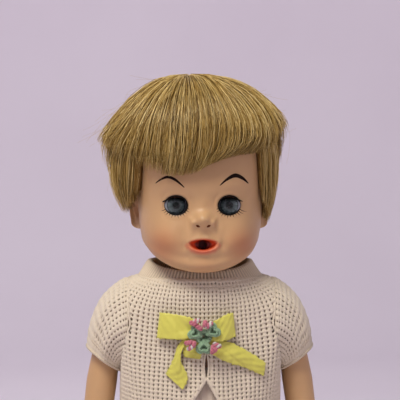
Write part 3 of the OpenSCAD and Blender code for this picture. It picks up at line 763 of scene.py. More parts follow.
def build_eye_rim(tree):
    """Black ring pressed into each eye opening, partly painted shade of the gap round the ball."""
    parts = []
    steps = 56
    section = [(0.42, 0.02), (0.34, 0.18), (0.05, 0.28), (-0.22, 0.1), (-0.32, -0.6), (-0.3, -1.6)]
    for side in (-1, 1):
        verts = []
        for grow, lift in section:
            for i in range(steps):
                turn = TAU * i / steps
                ox, oz = opening_shape(np.array(turn), grow, EYE_OPENING)
                edge_x, edge_z = opening_shape(np.array(turn), max(grow, 0.35), EYE_OPENING)
                p = on_face(tree, side * (EYE_X + edge_x), EYE_Z + edge_z, 0)
                verts.append((side * (EYE_X + ox), p.y - lift, EYE_Z + oz))
        faces = grid_faces(len(section), steps, True)
        parts.append((np.array(verts), faces if side > 0 else [f[::-1] for f in faces]))
    put(make_object("eye_rims", *join_meshes(parts), lash_black), "head")


BALL_R = 7.9
LID_R = 8.32
LID_EDGE = math.radians(31)
IRIS_ANGLE = math.radians(38.5)


def sphere_rings(radius, polar, spokes, centre):
    """Rings about the -Y axis at the given polar angles."""
    verts = []
    for a in polar:
        for i in range(spokes):
            t = TAU * i / spokes
            out = radius * math.sin(a)
            verts.append((out * math.cos(t), -radius * math.cos(a), out * math.sin(t)))
    return np.array(verts) + centre


def eye_material():
    """Painted ball under a clear coat."""
    mat = new_material("eye_glass", srgb(90, 105, 110), 0.12)
    shader = shader_of(mat)
    link(mat, paint_colour(mat), shader.inputs["Base Color"])
    shader.inputs["Coat Weight"].default_value = 0.6
    shader.inputs["Specular IOR Level"].default_value = 0.15
    shader.inputs["Coat Roughness"].default_value = 0.03
    vary_roughness(mat, noise_node(mat, 1.5), 0.1, 0.2)
    return mat


def build_eyeball(side, glass):
    """Ball with a grey-blue iris of radial fibres, a pupil, a dark limbus and the lid's shade above."""
    name = SIDE_NAMES[side]
    spokes = 96
    polar = np.concatenate([
        np.radians([0.6]), np.linspace(math.radians(3), IRIS_ANGLE, 22), [IRIS_ANGLE + 0.03],
        np.linspace(IRIS_ANGLE + 0.08, math.pi - 0.02, 26),
    ])
    points = sphere_rings(BALL_R, polar, spokes, EYE[name])
    share = np.repeat(polar / IRIS_ANGLE, spokes)
    spoke = np.tile(np.arange(spokes), len(polar))
    streak = rng.uniform(0, 1, spokes)
    streak = (streak + np.roll(streak, 1) * 0.6 + 0.3 * np.sin(np.arange(spokes) * TAU * 11 / spokes)) / 1.9
    fibre = streak[spoke] * smoothstep(0.3, 0.75, share)
    glow = (0.25 + 0.75 * fibre * smoothstep(0.25, 0.9, share))[:, None]
    iris_dark = srgb(22, 32, 33)
    iris_light = srgb(112, 128, 128)
    colour = iris_dark + (iris_light - iris_dark) * glow
    pupil = smoothstep(0.5, 0.28, share)[:, None]
    colour = colour * (1 - pupil) + srgb(6, 16, 12) * pupil
    limbus = (bell(share, 0.97, 0.06) * 0.6)[:, None]
    colour = colour * (1 - limbus) + srgb(16, 20, 22) * limbus
    # Painted shade: the white of the eye is painted a dull grey, as it lies in shade.
    white = smoothstep(1.0, 1.04, share)[:, None]
    colour = colour * (1 - white) + srgb(132, 136, 140) * white
    shade = smoothstep(0.5, 5.4, points[:, 2] - EYE_Z)[:, None] * 0.9 * (points[:, 1] < EYE_Y)[:, None]
    colour = colour * (1 - shade)
    faces = grid_faces(len(polar), spokes, True)
    faces.append(tuple(range(spokes))[::-1])
    ball = make_object(f"glass_eye_{name}", points, [f[::-1] for f in faces], glass)
    paint(ball, colour)
    put(ball, f"eye_{name}", "eye_lens", f"eyeball_{name}", f"iris_{name}")


def lid_point(radius, elevation, azimuth):
    """Point on a sphere about the pin: elevation turns about X from straight ahead, azimuth along the pin."""
    y = -radius * math.cos(elevation) * math.cos(azimuth)
    z = radius * math.sin(elevation) * math.cos(azimuth)
    return (radius * math.sin(azimuth), y, z)


def build_lid(side, lid_vinyl):
    """Curved shell over the top of the ball."""
    name = SIDE_NAMES[side]
    across = np.linspace(-1.45, 1.45, 33)
    turns = np.linspace(LID_EDGE, LID_EDGE + math.pi * 0.62, 20)
    outer = [lid_point(LID_R, e, a) for e in turns for a in across]
    inner = [lid_point(BALL_R + 0.1, e, a) for e in turns[::-1] for a in across]
    verts = np.array(outer + inner) + EYE[name]
    obj = make_object(f"lid_{name}", verts, grid_faces(2 * len(turns), len(across), False), lid_vinyl)
    put(obj, f"eye_{name}", "lid_vinyl", f"eyelid_{name}")


def build_upper_lashes(side):
    """Thick row of lash fibres rooted on the lid's edge, curving forward over the eye."""
    name = SIDE_NAMES[side]
    parts = []
    count = 74
    for k in range(count):
        across = np.interp(k, [0, count - 1], [-0.86, 0.86]) + rng.normal(0, 0.012)
        reach = 0.9 + 0.35 * rng.random()
        drop = math.radians(11 + 8 * rng.random()) * (1 - 0.25 * abs(across))
        line = []
        for s in np.linspace(0, 1, 5):
            out = LID_R - 0.05 + reach * s ** 1.4
            line.append(lid_point(out, LID_EDGE - drop * s, across * (1 + 0.12 * s)))
        parts.append(tube(np.array(line), np.array([0.15, 0.15, 0.13, 0.09, 0.03]), 4))
    verts, faces = join_meshes(parts)
    obj = make_object(f"lash_fibres_{name}", verts + EYE[name], faces, lash_black)
    put(obj, f"eye_{name}", "lash_fibre", f"lashes_{name}")


def frames_along(line):
    """Two unit normals that do not twist along a polyline."""
    tangent = np.gradient(line, axis=0)
    tangent /= np.maximum(np.linalg.norm(tangent, axis=1, keepdims=True), 1e-9)
    n = np.array([0, 0, 1.0]) if abs(tangent[0][2]) < 0.9 else np.array([1.0, 0, 0])
    normals = []
    for t in tangent:
        n = n - t * (n @ t)
        n /= max(np.linalg.norm(n), 1e-9)
        normals.append(n)
    normals = np.array(normals)
    return normals, np.cross(tangent, normals)


def tube(line, radii, sides, closed=False):
    """Tube of changing radius along a polyline, with capped ends unless closed."""
    line = np.asarray(line, float)
    radii = np.broadcast_to(np.asarray(radii, float), (len(line),))
    n, b = frames_along(line)
    a = np.arange(sides) * TAU / sides
    ring = np.cos(a)[None, :, None] * n[:, None] + np.sin(a)[None, :, None] * b[:, None]
    verts = (line[:, None] + ring * radii[:, None, None]).reshape(-1, 3)
    faces = [f[::-1] for f in grid_faces(len(line), sides, True)]
    last = (len(line) - 1) * sides
    if closed:
        faces += [((i + 1) % sides, i, last + i, last + (i + 1) % sides) for i in reversed(range(sides))]
    else:
        faces.append(tuple(range(sides)))
        faces.append(tuple(last + i for i in range(sides))[::-1])
    return verts, faces


def build_face_details():
    """Brows, nostrils, lashes, eye rims, ears, eyes and lids."""
    tree = tree_of(head)
    build_brows(tree)
    build_nostrils(tree)
    build_lower_lashes(tree)
    build_eye_rim(tree)
    glass = eye_material()
    # The lid is painted dark brown: eyeshadow deepened into painted shade over the top of the eye.
    lid_vinyl = new_material("lid_vinyl", srgb(96, 62, 44), 0.45)
    vary_roughness(lid_vinyl, noise_node(lid_vinyl, 1), 0.4, 0.5)
    for side in (-1, 1):
        build_ear(side)
        build_eyeball(side, glass)
        build_lid(side, lid_vinyl)
        build_upper_lashes(side)


build_face_details()

# ------------------------------------------------------------------ rooted hair

# Flow lines of the outer hair: azimuth in degrees (0 at the face, towards +X), then points from the crown to the tip
# as x, y and height above the chin.
CROWN_HAIR = [
    (-180, [(-5, 3, 109.6), (-4, 20, 107.5), (-2, 38, 99.5), (0, 50.5, 82), (0, 54.5, 60),
         (0, 51.5, 41), (0, 46, 26)]),
    (-150, [(-5, 2, 109.7), (-15, 16, 107.2), (-27, 33, 96), (-34, 43, 77), (-37, 45, 56),
         (-35.5, 42, 39), (-32, 37, 27)]),
    (-118, [(-6, 1, 109.8), (-23, 8, 107), (-38, 14, 97), (-48, 15, 82), (-51.5, 14, 66), (-50, 12, 50),
         (-45, 9, 37)]),
    (-90, [(-7, -1, 109.8), (-23, -2, 107.8), (-37, -4, 99.5), (-47, -6, 89), (-53.5, -7, 79.5),
         (-57.2, -8, 73.5),
           (-58.2, -8, 70.5)]),
    (-66, [(-7, -2, 109.6), (-18, -9, 107.6), (-30, -17, 99), (-40, -22, 87.5), (-47.5, -24, 77.5),
         (-51.5, -24.5, 71),
           (-53, -24, 66)]),
    (-45, [(-7, -3, 109.4), (-14, -14, 107), (-23, -26, 97.5), (-29.5, -34, 84.5), (-33, -36.5, 73),
         (-34.5, -36.5, 65),
           (-35, -35.5, 58)]),
    (-22, [(-7, -3, 109.4), (-10, -18, 107), (-14, -33, 96.5), (-17, -42, 82), (-18.5, -45.5, 68),
         (-19.5, -45.8, 59.5),
           (-20.5, -45, 53)]),
    (0, [(-7, -3, 109.4), (-5, -19, 107.2), (-2, -34.5, 97), (-0.5, -44.5, 82.5), (-1, -47.6, 68.5),
         (-3, -47.8, 60.5),
         (-5.5, -47, 54)]),
    (22, [(-6, -3, 109.4), (2, -18.5, 107.5), (9, -34, 96.5), (13.5, -43.5, 82.5), (13, -47.4, 71),
         (9.5, -48, 64),
          (3, -48, 58.5)]),
    (45, [(-6, -2, 109.6), (7, -15, 107.8), (18, -28, 98), (25.5, -37, 86), (27.5, -41, 76),
         (25.5, -42.4, 69.5),
          (19.5, -43.6, 64)]),
    (66, [(-5, -1, 109.8), (11, -9, 108), (26, -18, 100), (35.5, -25, 89), (39, -28.5, 79),
         (39.5, -29.5, 72.5),
          (38, -30.5, 67)]),
    (90, [(-5, 0, 109.8), (13, -3, 108.8), (28, -5, 103.5), (39.5, -7, 94.5), (46, -8, 87.5),
         (49.2, -8, 82.5),
          (50, -8, 80)]),
    (118, [(-4, 1, 109.8), (14, 8, 108), (31, 13, 99), (41.5, 15, 84), (45, 14, 68), (44, 12, 52),
         (40, 9, 37)]),
    (150, [(-4, 2, 109.7), (9, 17, 107.8), (23, 33, 98), (32, 43, 79), (35, 45.5, 59), (34, 42.5, 40),
           (30.5, 37.5, 26)]),
]
# Shorter hair rooted low on each side, in front of and behind the ear.
SIDE_HAIR = {
    -1: [
        (0, [(-31, -28, 84), (-35, -30, 74), (-37, -29, 64), (-37.6, -26.5, 53), (-38.6, -22.5, 44),
             (-40, -19, 37)]),
        (1, [(-34, -20, 84), (-41, -21, 74), (-44.5, -21.5, 64), (-45.5, -20, 53), (-44.5, -17.5, 43),
             (-42.5, -14, 34)]),
        (2, [(-38, -6, 84), (-46, -7, 74), (-50.5, -8, 63), (-51, -8, 51), (-48.5, -7.5, 41),
             (-44.5, -7, 32)]),
        (3, [(-38, 14, 84), (-46, 15, 72), (-49, 15, 60), (-48.5, 14, 48), (-46, 13, 38), (-42, 11, 30)]),
    ],
    1: [
        (0, [(29, -28, 86), (32, -30.5, 76), (33, -31, 66), (33.5, -29, 55), (34.5, -26, 46),
             (35, -23, 38)]),
        (1, [(32, -20, 86), (38, -22, 76), (41, -21.5, 64), (41.5, -20, 52), (41, -17.5, 41),
             (39, -15, 31)]),
        (2, [(37, -6, 86), (42.5, -7, 76), (44.2, -8, 64), (44, -8, 51), (42, -7.5, 38), (38.8, -7, 26)]),
        (3, [(37, 14, 86), (41.5, 15, 74), (43, 15, 60), (42.5, 14, 48), (40.5, 12.5, 38),
             (37.5, 10.5, 28)]),
    ],
}
SKULL_CENTRE = np.array([0, 5, CHIN_Z + 56])


class HairFlow:
    """Sheet of flow lines: where(u, t, depth) is between the scalp (0) and the outer hair (1)."""

    def __init__(self, columns, tree, period):
        self.period = period
        self.keys = np.array([c[0] for c in columns], float)
        self.lines = np.array([c[1] for c in columns], float)
        self.lines[..., 2] += CHIN_Z
        self.low = self.keys[0]
        self.high = self.keys[-1]
        self.u_grid = np.linspace(self.low, self.low + period if period else self.high, 121)
        self.t_grid = np.linspace(0, 1, 25)
        uu, tt = np.meshgrid(self.u_grid, self.t_grid, indexing="ij")
        self.outer_grid = self.outer(uu, tt)
        inner = self.outer_grid.copy()
        for i in range(inner.shape[0]):
            for k in range(inner.shape[1]):
                start = Vector(self.outer_grid[i, k])
                aim = Vector(SKULL_CENTRE) - start
                hit = tree.ray_cast(start, aim.normalized(), aim.length)[0]
                if hit is not None:
                    inner[i, k] = np.array(hit) - np.array(aim.normalized()) * 0.3
        self.inner_grid = inner

    def outer(self, u, t):
        """Catmull-Rom across the flow lines and along them."""
        if self.period:
            keys = np.concatenate([self.keys[-2:] - self.period, self.keys, self.keys[:3] + self.period])
            lines = np.concatenate([self.lines[-2:], self.lines, self.lines[:3]])
        else:
            keys = np.concatenate([[2 * self.keys[0] - self.keys[1]], self.keys, [2 * self.keys[-1] - self.keys[-2]]])
            lines = np.concatenate([[2 * self.lines[0] - self.lines[1]], self.lines,
                                    [2 * self.lines[-1] - self.lines[-2]]])
        i = np.clip(np.searchsorted(keys, u, side="right") - 1, 1, len(keys) - 3)
        f = (u - keys[i]) / (keys[i + 1] - keys[i])
        k = t * (self.lines.shape[1] - 1)
        p = [self.along(lines, i + d, k) for d in (-1, 0, 1, 2)]
        f = f[..., None]
        return spline(*p, f)

    @staticmethod
    def along(lines, i, k):
        """Point along the flow lines i at the float index k."""
        last = lines.shape[1] - 1
        j = np.clip(k.astype(int), 0, last - 1)
        f = (k - j)[..., None]
        before = lines[i, np.maximum(j - 1, 0)]
        after = lines[i, np.minimum(j + 2, last)]
        return spline(before, lines[i, j], lines[i, j + 1], after, f)

    def where(self, u, t, depth):
        """Point at u across, t along and depth between the scalp and the outer hair."""
        if self.period:
            u = self.low + (u - self.low) % self.period
        else:
            u = np.clip(u, self.low, self.high)
        outer = self.outer(u, t)
        ui = (u - self.u_grid[0]) / (self.u_grid[-1] - self.u_grid[0]) * (len(self.u_grid) - 1)
        ti = np.clip(t, 0, 1) * (len(self.t_grid) - 1)
        i = np.clip(ui.astype(int), 0, len(self.u_grid) - 2)
        k = np.clip(ti.astype(int), 0, len(self.t_grid) - 2)
        fu = (ui - i)[..., None]
        ft = (ti - k)[..., None]
        g = self.inner_grid
        near_root = g[i, k] * (1 - fu) + g[i + 1, k] * fu
        near_tip = g[i, k + 1] * (1 - fu) + g[i + 1, k + 1] * fu
        inner = near_root * (1 - ft) + near_tip * ft
        return inner + (outer - inner) * depth[..., None]


STRAND_POINTS = 10
STRAND_R = 0.18
CROWN_STRANDS = 13200
SIDE_STRANDS = 2100
STRANDS_PER_PIECE = 3400


def grow_strands(flow, count, roots, seed_clumps, radius, depth_low):
    """Strand centre lines and radii on a flow sheet; strands lean together into clumps towards their tips."""
    span = (flow.low, flow.low + flow.period) if flow.period else (flow.low, flow.high)
    clump_u = rng.uniform(*span, seed_clumps)
    clump_end = rng.normal(0, 0.05, seed_clumps)
    clump_tone = rng.normal(0, 1, seed_clumps)
    pick = rng.integers(0, seed_clumps, count)
    width = (span[1] - span[0]) / seed_clumps * 1.9
    offset = rng.normal(0, width, count)
    stray = rng.random(count) < 0.3
    offset[stray] *= 2.4
    root = rng.uniform(0, 1, count) ** 1.5 * roots
    depth = (1 - 0.7 * root / max(roots, 1e-6)) * rng.uniform(depth_low, 1.0, count) + 0.02
    ragged = np.interp(offset + clump_u[pick], np.linspace(*span, 90), rng.normal(0, 0.05, 90))
    end = 1.0 + clump_end[pick] + ragged - np.abs(rng.normal(0, 0.055, count)) - 0.1 * (1 - depth)
    short = rng.random(count) < 0.3
    end[short] = np.maximum(rng.uniform(0.5, 0.97, count), root + 0.25)[short]
    s = np.linspace(0, 1, STRAND_POINTS)[None]
    t = root[:, None] + (end - root)[:, None] * s
    gather = 1 - 0.12 * smoothstep(0.25, 1, s)
    slant = rng.normal(0, (span[1] - span[0]) * 0.013, count)[:, None] * s
    wave = rng.uniform(0, TAU, count)[:, None]
    sway = np.sin(s * 4.6 + wave) * (span[1] - span[0]) * 0.003
    u = clump_u[pick][:, None] + offset[:, None] * gather + sway + slant
    near_crown = smoothstep(0.16, 0.0, root)[:, None]
    rise = near_crown + (1 - near_crown) * smoothstep(0, 0.22, s) ** 0.8
    lift = depth[:, None] * rise + 0.02 + np.sin(s * 6 + wave * 1.7) * 0.045
    points = flow.where(u, np.clip(t, 0, 1.06), lift)
    taper = (1 - 0.8 * smoothstep(0.6, 1.0, s)) * (0.5 + 0.5 * smoothstep(0, 0.1, s))
    r = radius * rng.uniform(0.8, 1.25, count)[:, None] * taper
    # Tone differs by clump and strand at random; deeper strands also get darker tones and outer ones lighter, which is
    # painted shade and highlight.
    tone = clump_tone[pick] * 0.35 + rng.normal(0, 0.9, count) + (depth - 0.6) * 1.4
    return points, np.broadcast_to(r, points.shape[:2]), tone


def strand_mesh(name, points, radii, material):
    """Three-sided tubes round many centre lines of equal point count."""
    count, steps = points.shape[:2]
    tangent = np.gradient(points, axis=1)
    tangent /= np.maximum(np.linalg.norm(tangent, axis=2, keepdims=True), 1e-9)
    out = points - SKULL_CENTRE
    out -= tangent * (out * tangent).sum(2, keepdims=True)
    out /= np.maximum(np.linalg.norm(out, axis=2, keepdims=True), 1e-9)
    side = np.cross(tangent, out)
    ring = []
    for k in range(3):
        a = TAU * k / 3 + math.pi / 2
        ring.append(points + (out * math.sin(a) + side * math.cos(a)) * radii[..., None])
    verts = np.stack(ring, 2).reshape(-1, 3)
    base = (np.arange(count)[:, None, None] * steps + np.arange(steps - 1)[None, :, None]) * 3
    k = np.arange(3)[None, None]
    n = (k + 1) % 3
    quads = np.stack([base + k, base + n, base + 3 + n, base + 3 + k], -1).reshape(-1, 4)
    return quad_object(name, verts, quads, material)


def quad_object(name, verts, quads, material):
    """A mesh object from arrays of points and quads."""
    mesh = bpy.data.meshes.new(name)
    mesh.vertices.add(len(verts))
    mesh.vertices.foreach_set("co", (np.asarray(verts, np.float32) * MM).ravel())
    mesh.loops.add(quads.size)
    mesh.loops.foreach_set("vertex_index", quads.astype(np.int32).ravel())
    mesh.polygons.add(len(quads))
    mesh.polygons.foreach_set("loop_start", np.arange(len(quads), dtype=np.int32) * 4)
    mesh.update(calc_edges=True)
    mesh.polygons.foreach_set("use_smooth", [True] * len(quads))
    mesh.materials.append(material)
    obj = bpy.data.objects.new(name, mesh)
    bpy.context.scene.collection.objects.link(obj)
    return obj


def hair_material(name, colour):
    """Glossy hair with a warm highlight."""
    mat = new_material(name, colour, 0.4)
    shader = shader_of(mat)
    shader.inputs["Specular IOR Level"].default_value = 0.6
    shader.inputs["Specular Tint"].default_value = (1.0, 0.86, 0.6, 1)
    vary_roughness(mat, noise_node(mat, 3), 0.24, 0.42)
    return mat


def build_under_cap(name, flow, depth, t_end, material):
    """Closed layer beneath the strands, so that no scalp shows between them."""
    us = np.linspace(flow.u_grid[0], flow.u_grid[-1], 97)
    ts = np.linspace(0.015, t_end, 22)
    uu, tt = np.meshgrid(us, ts, indexing="ij")
    parts = []
    for d in depth:
        wobble = 0.06 * np.sin(uu * 0.9 + 3 * tt) + 0.05 * np.sin(uu * 2.3 - 5 * tt)
        parts.append(flow.where(uu, tt, np.full_like(uu, d) + wobble * (d > 0.2)))
    outer, inner = parts
    columns = len(ts)
    verts = np.concatenate([outer.reshape(-1, 3), inner.reshape(-1, 3)])
    half = len(us) * columns
    faces = []
    for i in range(len(us) - 1):
        for k in range(columns - 1):
            a = i * columns + k
            faces.append((a, a + columns, a + columns + 1, a + 1))
            faces.append((a + half, a + half + 1, a + half + columns + 1, a + half + columns))
        for k, flip in ((0, False), (columns - 1, True)):
            a = i * columns + k
            quad = (a, a + half, a + half + columns, a + columns)
            faces.append(quad[::-1] if flip else quad)
    if not flow.period:
        for i, flip in ((0, True), (len(us) - 1, False)):
            for k in range(columns - 1):
                a = i * columns + k
                quad = (a, a + half, a + half + 1, a + 1)
                faces.append(quad[::-1] if flip else quad)
    obj = make_object(name, verts, faces, material)
    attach(obj, "head")
    return obj


def build_hair():
    """Caps under the hair and all strands, sorted into pieces by tone; returns the crown's flow."""
    tree = tree_of(head)
    crown = HairFlow(CROWN_HAIR, tree, 360)
    sides = {side: HairFlow(columns, tree, 0) for side, columns in SIDE_HAIR.items()}
    # Painted shade: the cap under the strands takes a dark hair colour, for the shade deep inside the hair.
    base = hair_material("hair_base", srgb(104, 76, 32))
    # Strand tones run from a shade colour to a highlight colour: painted light and shade on one hair colour, besides
    # the random spread.
    tones = [
        ("hair_shadow", srgb(98, 70, 28)),
        ("hair_dark", srgb(146, 114, 54)),
        ("hair_mid", srgb(188, 156, 88)),
        ("hair_light", srgb(226, 200, 136)),
    ]
    cap = build_under_cap("hair_cap", crown, (0.5, 0.02), 0.86, base)
    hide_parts("hair")
    for side, flow in sides.items():
        build_under_cap(f"hair_side_{SIDE_NAMES[side]}", flow, (0.46, 0.02), 0.84, base)
    batches = [grow_strands(crown, CROWN_STRANDS, 0.6, 620, STRAND_R, 0.55)]
    for flow in sides.values():
        batches.append(grow_strands(flow, SIDE_STRANDS, 0.35, 90, STRAND_R, 0.45))
    points = np.concatenate([b[0] for b in batches])
    radii = np.concatenate([b[1] for b in batches])
    tone = np.concatenate([b[2] for b in batches])
    level = np.digitize(tone, [-1.1, -0.1, 1.0])
    for k, (name, colour) in enumerate(tones):
        HAIR_TONES[name] = hair_material(name, colour)
        index = np.nonzero(level == k)[0]
        for part in range(0, len(index), STRANDS_PER_PIECE):
            some = index[part:part + STRANDS_PER_PIECE]
            piece = f"{name}_{part // STRANDS_PER_PIECE}"
            put(strand_mesh(piece, points[some], radii[some], HAIR_TONES[name]), "head", "hair")
    return crown


HAIR_TONES = {}
crown_flow = build_hair()


def build_flyaways(flow):
    """Loose single hairs that stand off the outline."""
    count = 150
    u = rng.uniform(-180, 180, count)
    s = np.linspace(0, 1, STRAND_POINTS)[None]
    t = rng.uniform(0.1, 0.7, count)[:, None] + s * rng.uniform(0.15, 0.45, count)[:, None]
    bend = rng.normal(0, 14, count)[:, None] * s ** 2
    rise = 0.9 + rng.uniform(0.25, 0.75, count)[:, None] * s ** 1.5
    points = flow.where(u[:, None] + bend, np.clip(t, 0, 1.05), rise * np.ones_like(t))
    points = points + rng.normal(0, 1, (count, 1, 3)) * (s[..., None] ** 2) * 2.2
    radii = np.full((count, STRAND_POINTS), 0.07) * (1 - 0.6 * s)
    obj = strand_mesh("hair_flyaways", points, radii, HAIR_TONES["hair_mid"])
    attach(obj, "head")


build_flyaways(crown_flow)

# ------------------------------------------------------------------ knit

cream_yarn = new_material("cream_yarn", srgb(230, 216, 192), 0.86, Sheen_Weight=0.35, Sheen_Roughness=0.5)
vary_roughness(cream_yarn, noise_node(cream_yarn, 2.0), 0.78, 0.95)
add_bump(cream_yarn, noise_node(cream_yarn, 0.45, 4, 0.6, (1, 1, 2.2)).outputs["Fac"], 0.75, 0.35)
rib_yarn = new_material("rib_yarn", srgb(216, 200, 174), 0.88, Sheen_Weight=0.35, Sheen_Roughness=0.5)
vary_roughness(rib_yarn, noise_node(rib_yarn, 1.6), 0.8, 0.95)
add_bump(rib_yarn, noise_node(rib_yarn, 0.4, 4, 0.6).outputs["Fac"], 0.7, 0.3)

STITCH_W = 2.65
STITCH_H = 2.4
HOLE_U = (0.0, 0.35, 0.65)
HOLE_V = (0.0, 0.26, 0.76)


def grid_normals(points, closed):
    """Outward unit normals of a (rows, columns) grid of points."""
    if closed:
        across = np.roll(points, -1, 1) - np.roll(points, 1, 1)
    else:
        across = np.gradient(points, axis=1)
    n = np.cross(across, np.gradient(points, axis=0))
    return n / np.maximum(np.linalg.norm(n, axis=2, keepdims=True), 1e-9)


def sample_grid(base, v, u, closed):
    """Catmull-Rom samples of a coarse grid at float row v and float column u."""
    columns = base.shape[1]
    i = np.floor(u).astype(int)
    f = u - i
    picks = []
    for d in (-1, 0, 1, 2):
        k = (i + d) % columns if closed else np.clip(i + d, 0, columns - 1)
        picks.append(catmull(base[:, k], v))
    return spline(*picks, f[None, :, None])


def thick_sheet(name, outer, inner, keep, closed, material):
    """Two-sided sheet with walls round every opening; keep marks the quads that stay."""
    rows, columns = outer.shape[:2]
    index = np.arange(rows * columns).reshape(rows, columns)
    right = np.roll(index, -1, 1)
    last = columns if closed else columns - 1
    keep = keep[:, :last]
    a, b = index[:-1, :last], right[:-1, :last]
    c, d = right[1:, :last], index[1:, :last]
    half = rows * columns
    quads = [np.stack([a, b, c, d], -1)[keep]]
    quads.append(np.stack([a, d, c, b], -1)[keep] + half)
    pad = np.zeros((rows + 1, last), bool)
    pad[1:-1] = keep
    low, high = pad[:-1], pad[1:]
    p, q = index[:, :last], right[:, :last]
    wall = np.stack([p, p + half, q + half, q], -1)
    quads.append(wall[high & ~low])
    quads.append(wall[low & ~high][:, ::-1])
    if closed:
        before = np.roll(keep, 1, 1)
        after = keep
        p, q = index[:-1], index[1:]
    else:
        side = np.zeros((rows - 1, columns + 1), bool)
        side[:, 1:-1] = keep
        before, after = side[:, :-1], side[:, 1:]
        p, q = index[:-1], index[1:]
    wall = np.stack([p, q, q + half, p + half], -1)
    quads.append(wall[after & ~before])
    quads.append(wall[before & ~after][:, ::-1])
    quads = np.concatenate(quads)
    verts = np.concatenate([outer.reshape(-1, 3), inner.reshape(-1, 3)])
    used, quads = np.unique(quads, return_inverse=True)
    return quad_object(name, verts[used], quads.reshape(-1, 4), material)


def knit_panel(name, base, cells_u, cells_v, closed=True, gone=None, snap=None, crest=0.5, thickness=1.0,
               material=None, solid_rows=1, shape=None):
    """Open-work knit over a base grid: ribs between columns of small holes."""
    u = (np.arange(cells_u)[:, None] + np.array(HOLE_U)[None]).ravel()
    v = np.append((np.arange(cells_v)[:, None] + np.array(HOLE_V)[None]).ravel(), cells_v)
    if not closed:
        u = np.append(u, cells_u)
    scale_u = (base.shape[1] if closed else base.shape[1] - 1) / cells_u
    scale_v = (base.shape[0] - 1) / cells_v
    points = sample_grid(base, v * scale_v, u * scale_u, closed)
    normal = grid_normals(points, closed)
    fu = (u % 1)[None, :]
    fv = (v % 1)[:, None]
    row = np.floor(v).astype(int)[:, None]
    rise = crest * (np.cos(TAU * fu) * 0.5 + 0.5) + 0.2 * (fv < 0.1)
    rise = rise + 0.16 * np.where(np.isclose(fv, HOLE_V[1]), 1, 0) * (fu < 0.1)
    rise = rise + 0.05 * rng.normal(0, 1, (len(v), len(u)))
    last = len(u) if closed else len(u) - 1
    ku = np.isclose(u[:last] % 1, HOLE_U[1])[None]
    kv = np.isclose(v[:-1] % 1, HOLE_V[1])[:, None]
    solid = (row[:-1] < solid_rows) | (row[:-1] >= cells_v - solid_rows)
    keep = ~(ku & kv & ~solid)
    if shape is not None:
        rise = rise + shape(points)
    outer = points + normal * rise[..., None]
    inner = points - normal * (thickness - 0.35 * rise[..., None])
    if gone is not None:
        right = np.roll(points, -1, 1)
        middle = (points[:-1, :last] + right[:-1, :last] + points[1:, :last] + right[1:, :last]) / 4
        removed = gone(middle)
        keep &= ~removed
        near = np.zeros((len(v), len(u)), bool)
        inside = np.zeros((len(v), len(u)), bool)
        for dr in (0, 1):
            for dc in (0, 1):
                target_r = slice(dr, len(v) - 1 + dr)
                if closed:
                    near[target_r] |= np.roll(removed, dc, 1)
                    inside[target_r] |= np.roll(~removed, dc, 1)
                else:
                    near[target_r, dc:last + dc] |= removed
                    inside[target_r, dc:last + dc] |= ~removed
        edge = near & inside
        outer[edge] = snap(outer[edge])
        inner[edge] = snap(inner[edge])
    return thick_sheet(name, outer, inner, keep, closed, material or cream_yarn)


def ring_cord(name, line, radius, material, sides=8, twist=0.18, body=None):
    """Closed cord with the ripple of a sewn edge."""
    line = np.asarray(line, float)
    count = len(line)
    radii = radius * (1 + twist * np.cos(np.arange(count) * math.pi))
    verts, faces = tube(line, radii, sides, closed=True)
    obj = make_object(name, verts, faces, material)
    if body:
        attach(obj, body)
    return obj


def open_cord(name, line, radius, material, body):
    """Cord with two ends, sewn along an edge."""
    line = np.asarray(line, float)
    radii = radius * (1 + 0.16 * np.cos(np.arange(len(line)) * math.pi))
    obj = make_object(name, *tube(line, radii, 8), material)
    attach(obj, body)
    return obj


def resample(line, count, closed=False):
    """Evenly spaced points along a polyline."""
    line = np.asarray(line, float)
    if closed:
        line = np.vstack([line, line[:1]])
    length = run_length(line)
    at = np.linspace(0, length[-1], count, endpoint=not closed)
    return np.stack([np.interp(at, length, line[:, k]) for k in range(line.shape[1])], -1)


def hull_tree(node):
    """Ray-casting tree of a node's convex hull, in millimetres."""
    source = frame["nodes"][node]
    bm = bmesh.new()
    for vert in source.data.vertices:
        bm.verts.new((source.matrix_world @ vert.co) / MM)
    bmesh.ops.remove_doubles(bm, verts=bm.verts, dist=0.01)
    bmesh.ops.convex_hull(bm, input=bm.verts)
    bm.normal_update()
    tree = BVHTree.FromBMesh(bm)
    bm.free()
    return tree


HEM_Z = box_mm("knit_top")[0][2]
NECK_X = 32.4
NECK_Y = 27.9
ARMHOLE_R = 25.8
TOP_CENTRE = np.array([0, 0, 236.0])
VENT_TOP = 238.0
VENT_X = 2.0
VENT_SLOPE = 0.6
SLIT_Z = 244
SLIT_HALF = 6.5


def top_profile(tree, azimuth):
    """Points of the top's surface up one side, from the hem to the neck."""
    line = []
    for elevation in np.radians(np.linspace(-60, 80, 281)):
        aim = np.array([math.sin(azimuth) * math.cos(elevation), -math.cos(azimuth) * math.cos(elevation),
                        math.sin(elevation)])
        start = TOP_CENTRE + aim * 150
        hit = tree.ray_cast(Vector(start), Vector(-aim))[0]
        if hit is None or hit.z < HEM_Z + 0.05:
            continue
        if math.hypot(hit.x / NECK_X, hit.y / NECK_Y) < 1 and hit.z > TOP_CENTRE[2]:
            break
        line.append(tuple(hit))
    return np.array(line)


def top_base(tree, columns=112, rows=46):
    """Grid over the top: rows from the hem to the neck, columns of equal width round the chest."""
    fine = np.linspace(0, TAU, 721)[:-1]
    waist = []
    for a in fine:
        aim = Vector((math.sin(a), -math.cos(a), 0))
        waist.append(tuple(tree.ray_cast(Vector((0, 0, 225)) + aim * 150, -aim)[0]))
    waist = np.array(waist)
    length = run_length(np.vstack([waist, waist[:1]]))
    at = np.interp(np.linspace(0, length[-1], columns, endpoint=False), length, np.append(fine, TAU))
    grid = np.array([resample(top_profile(tree, a), rows) for a in at])
    return np.moveaxis(grid, 0, 1), length[-1]


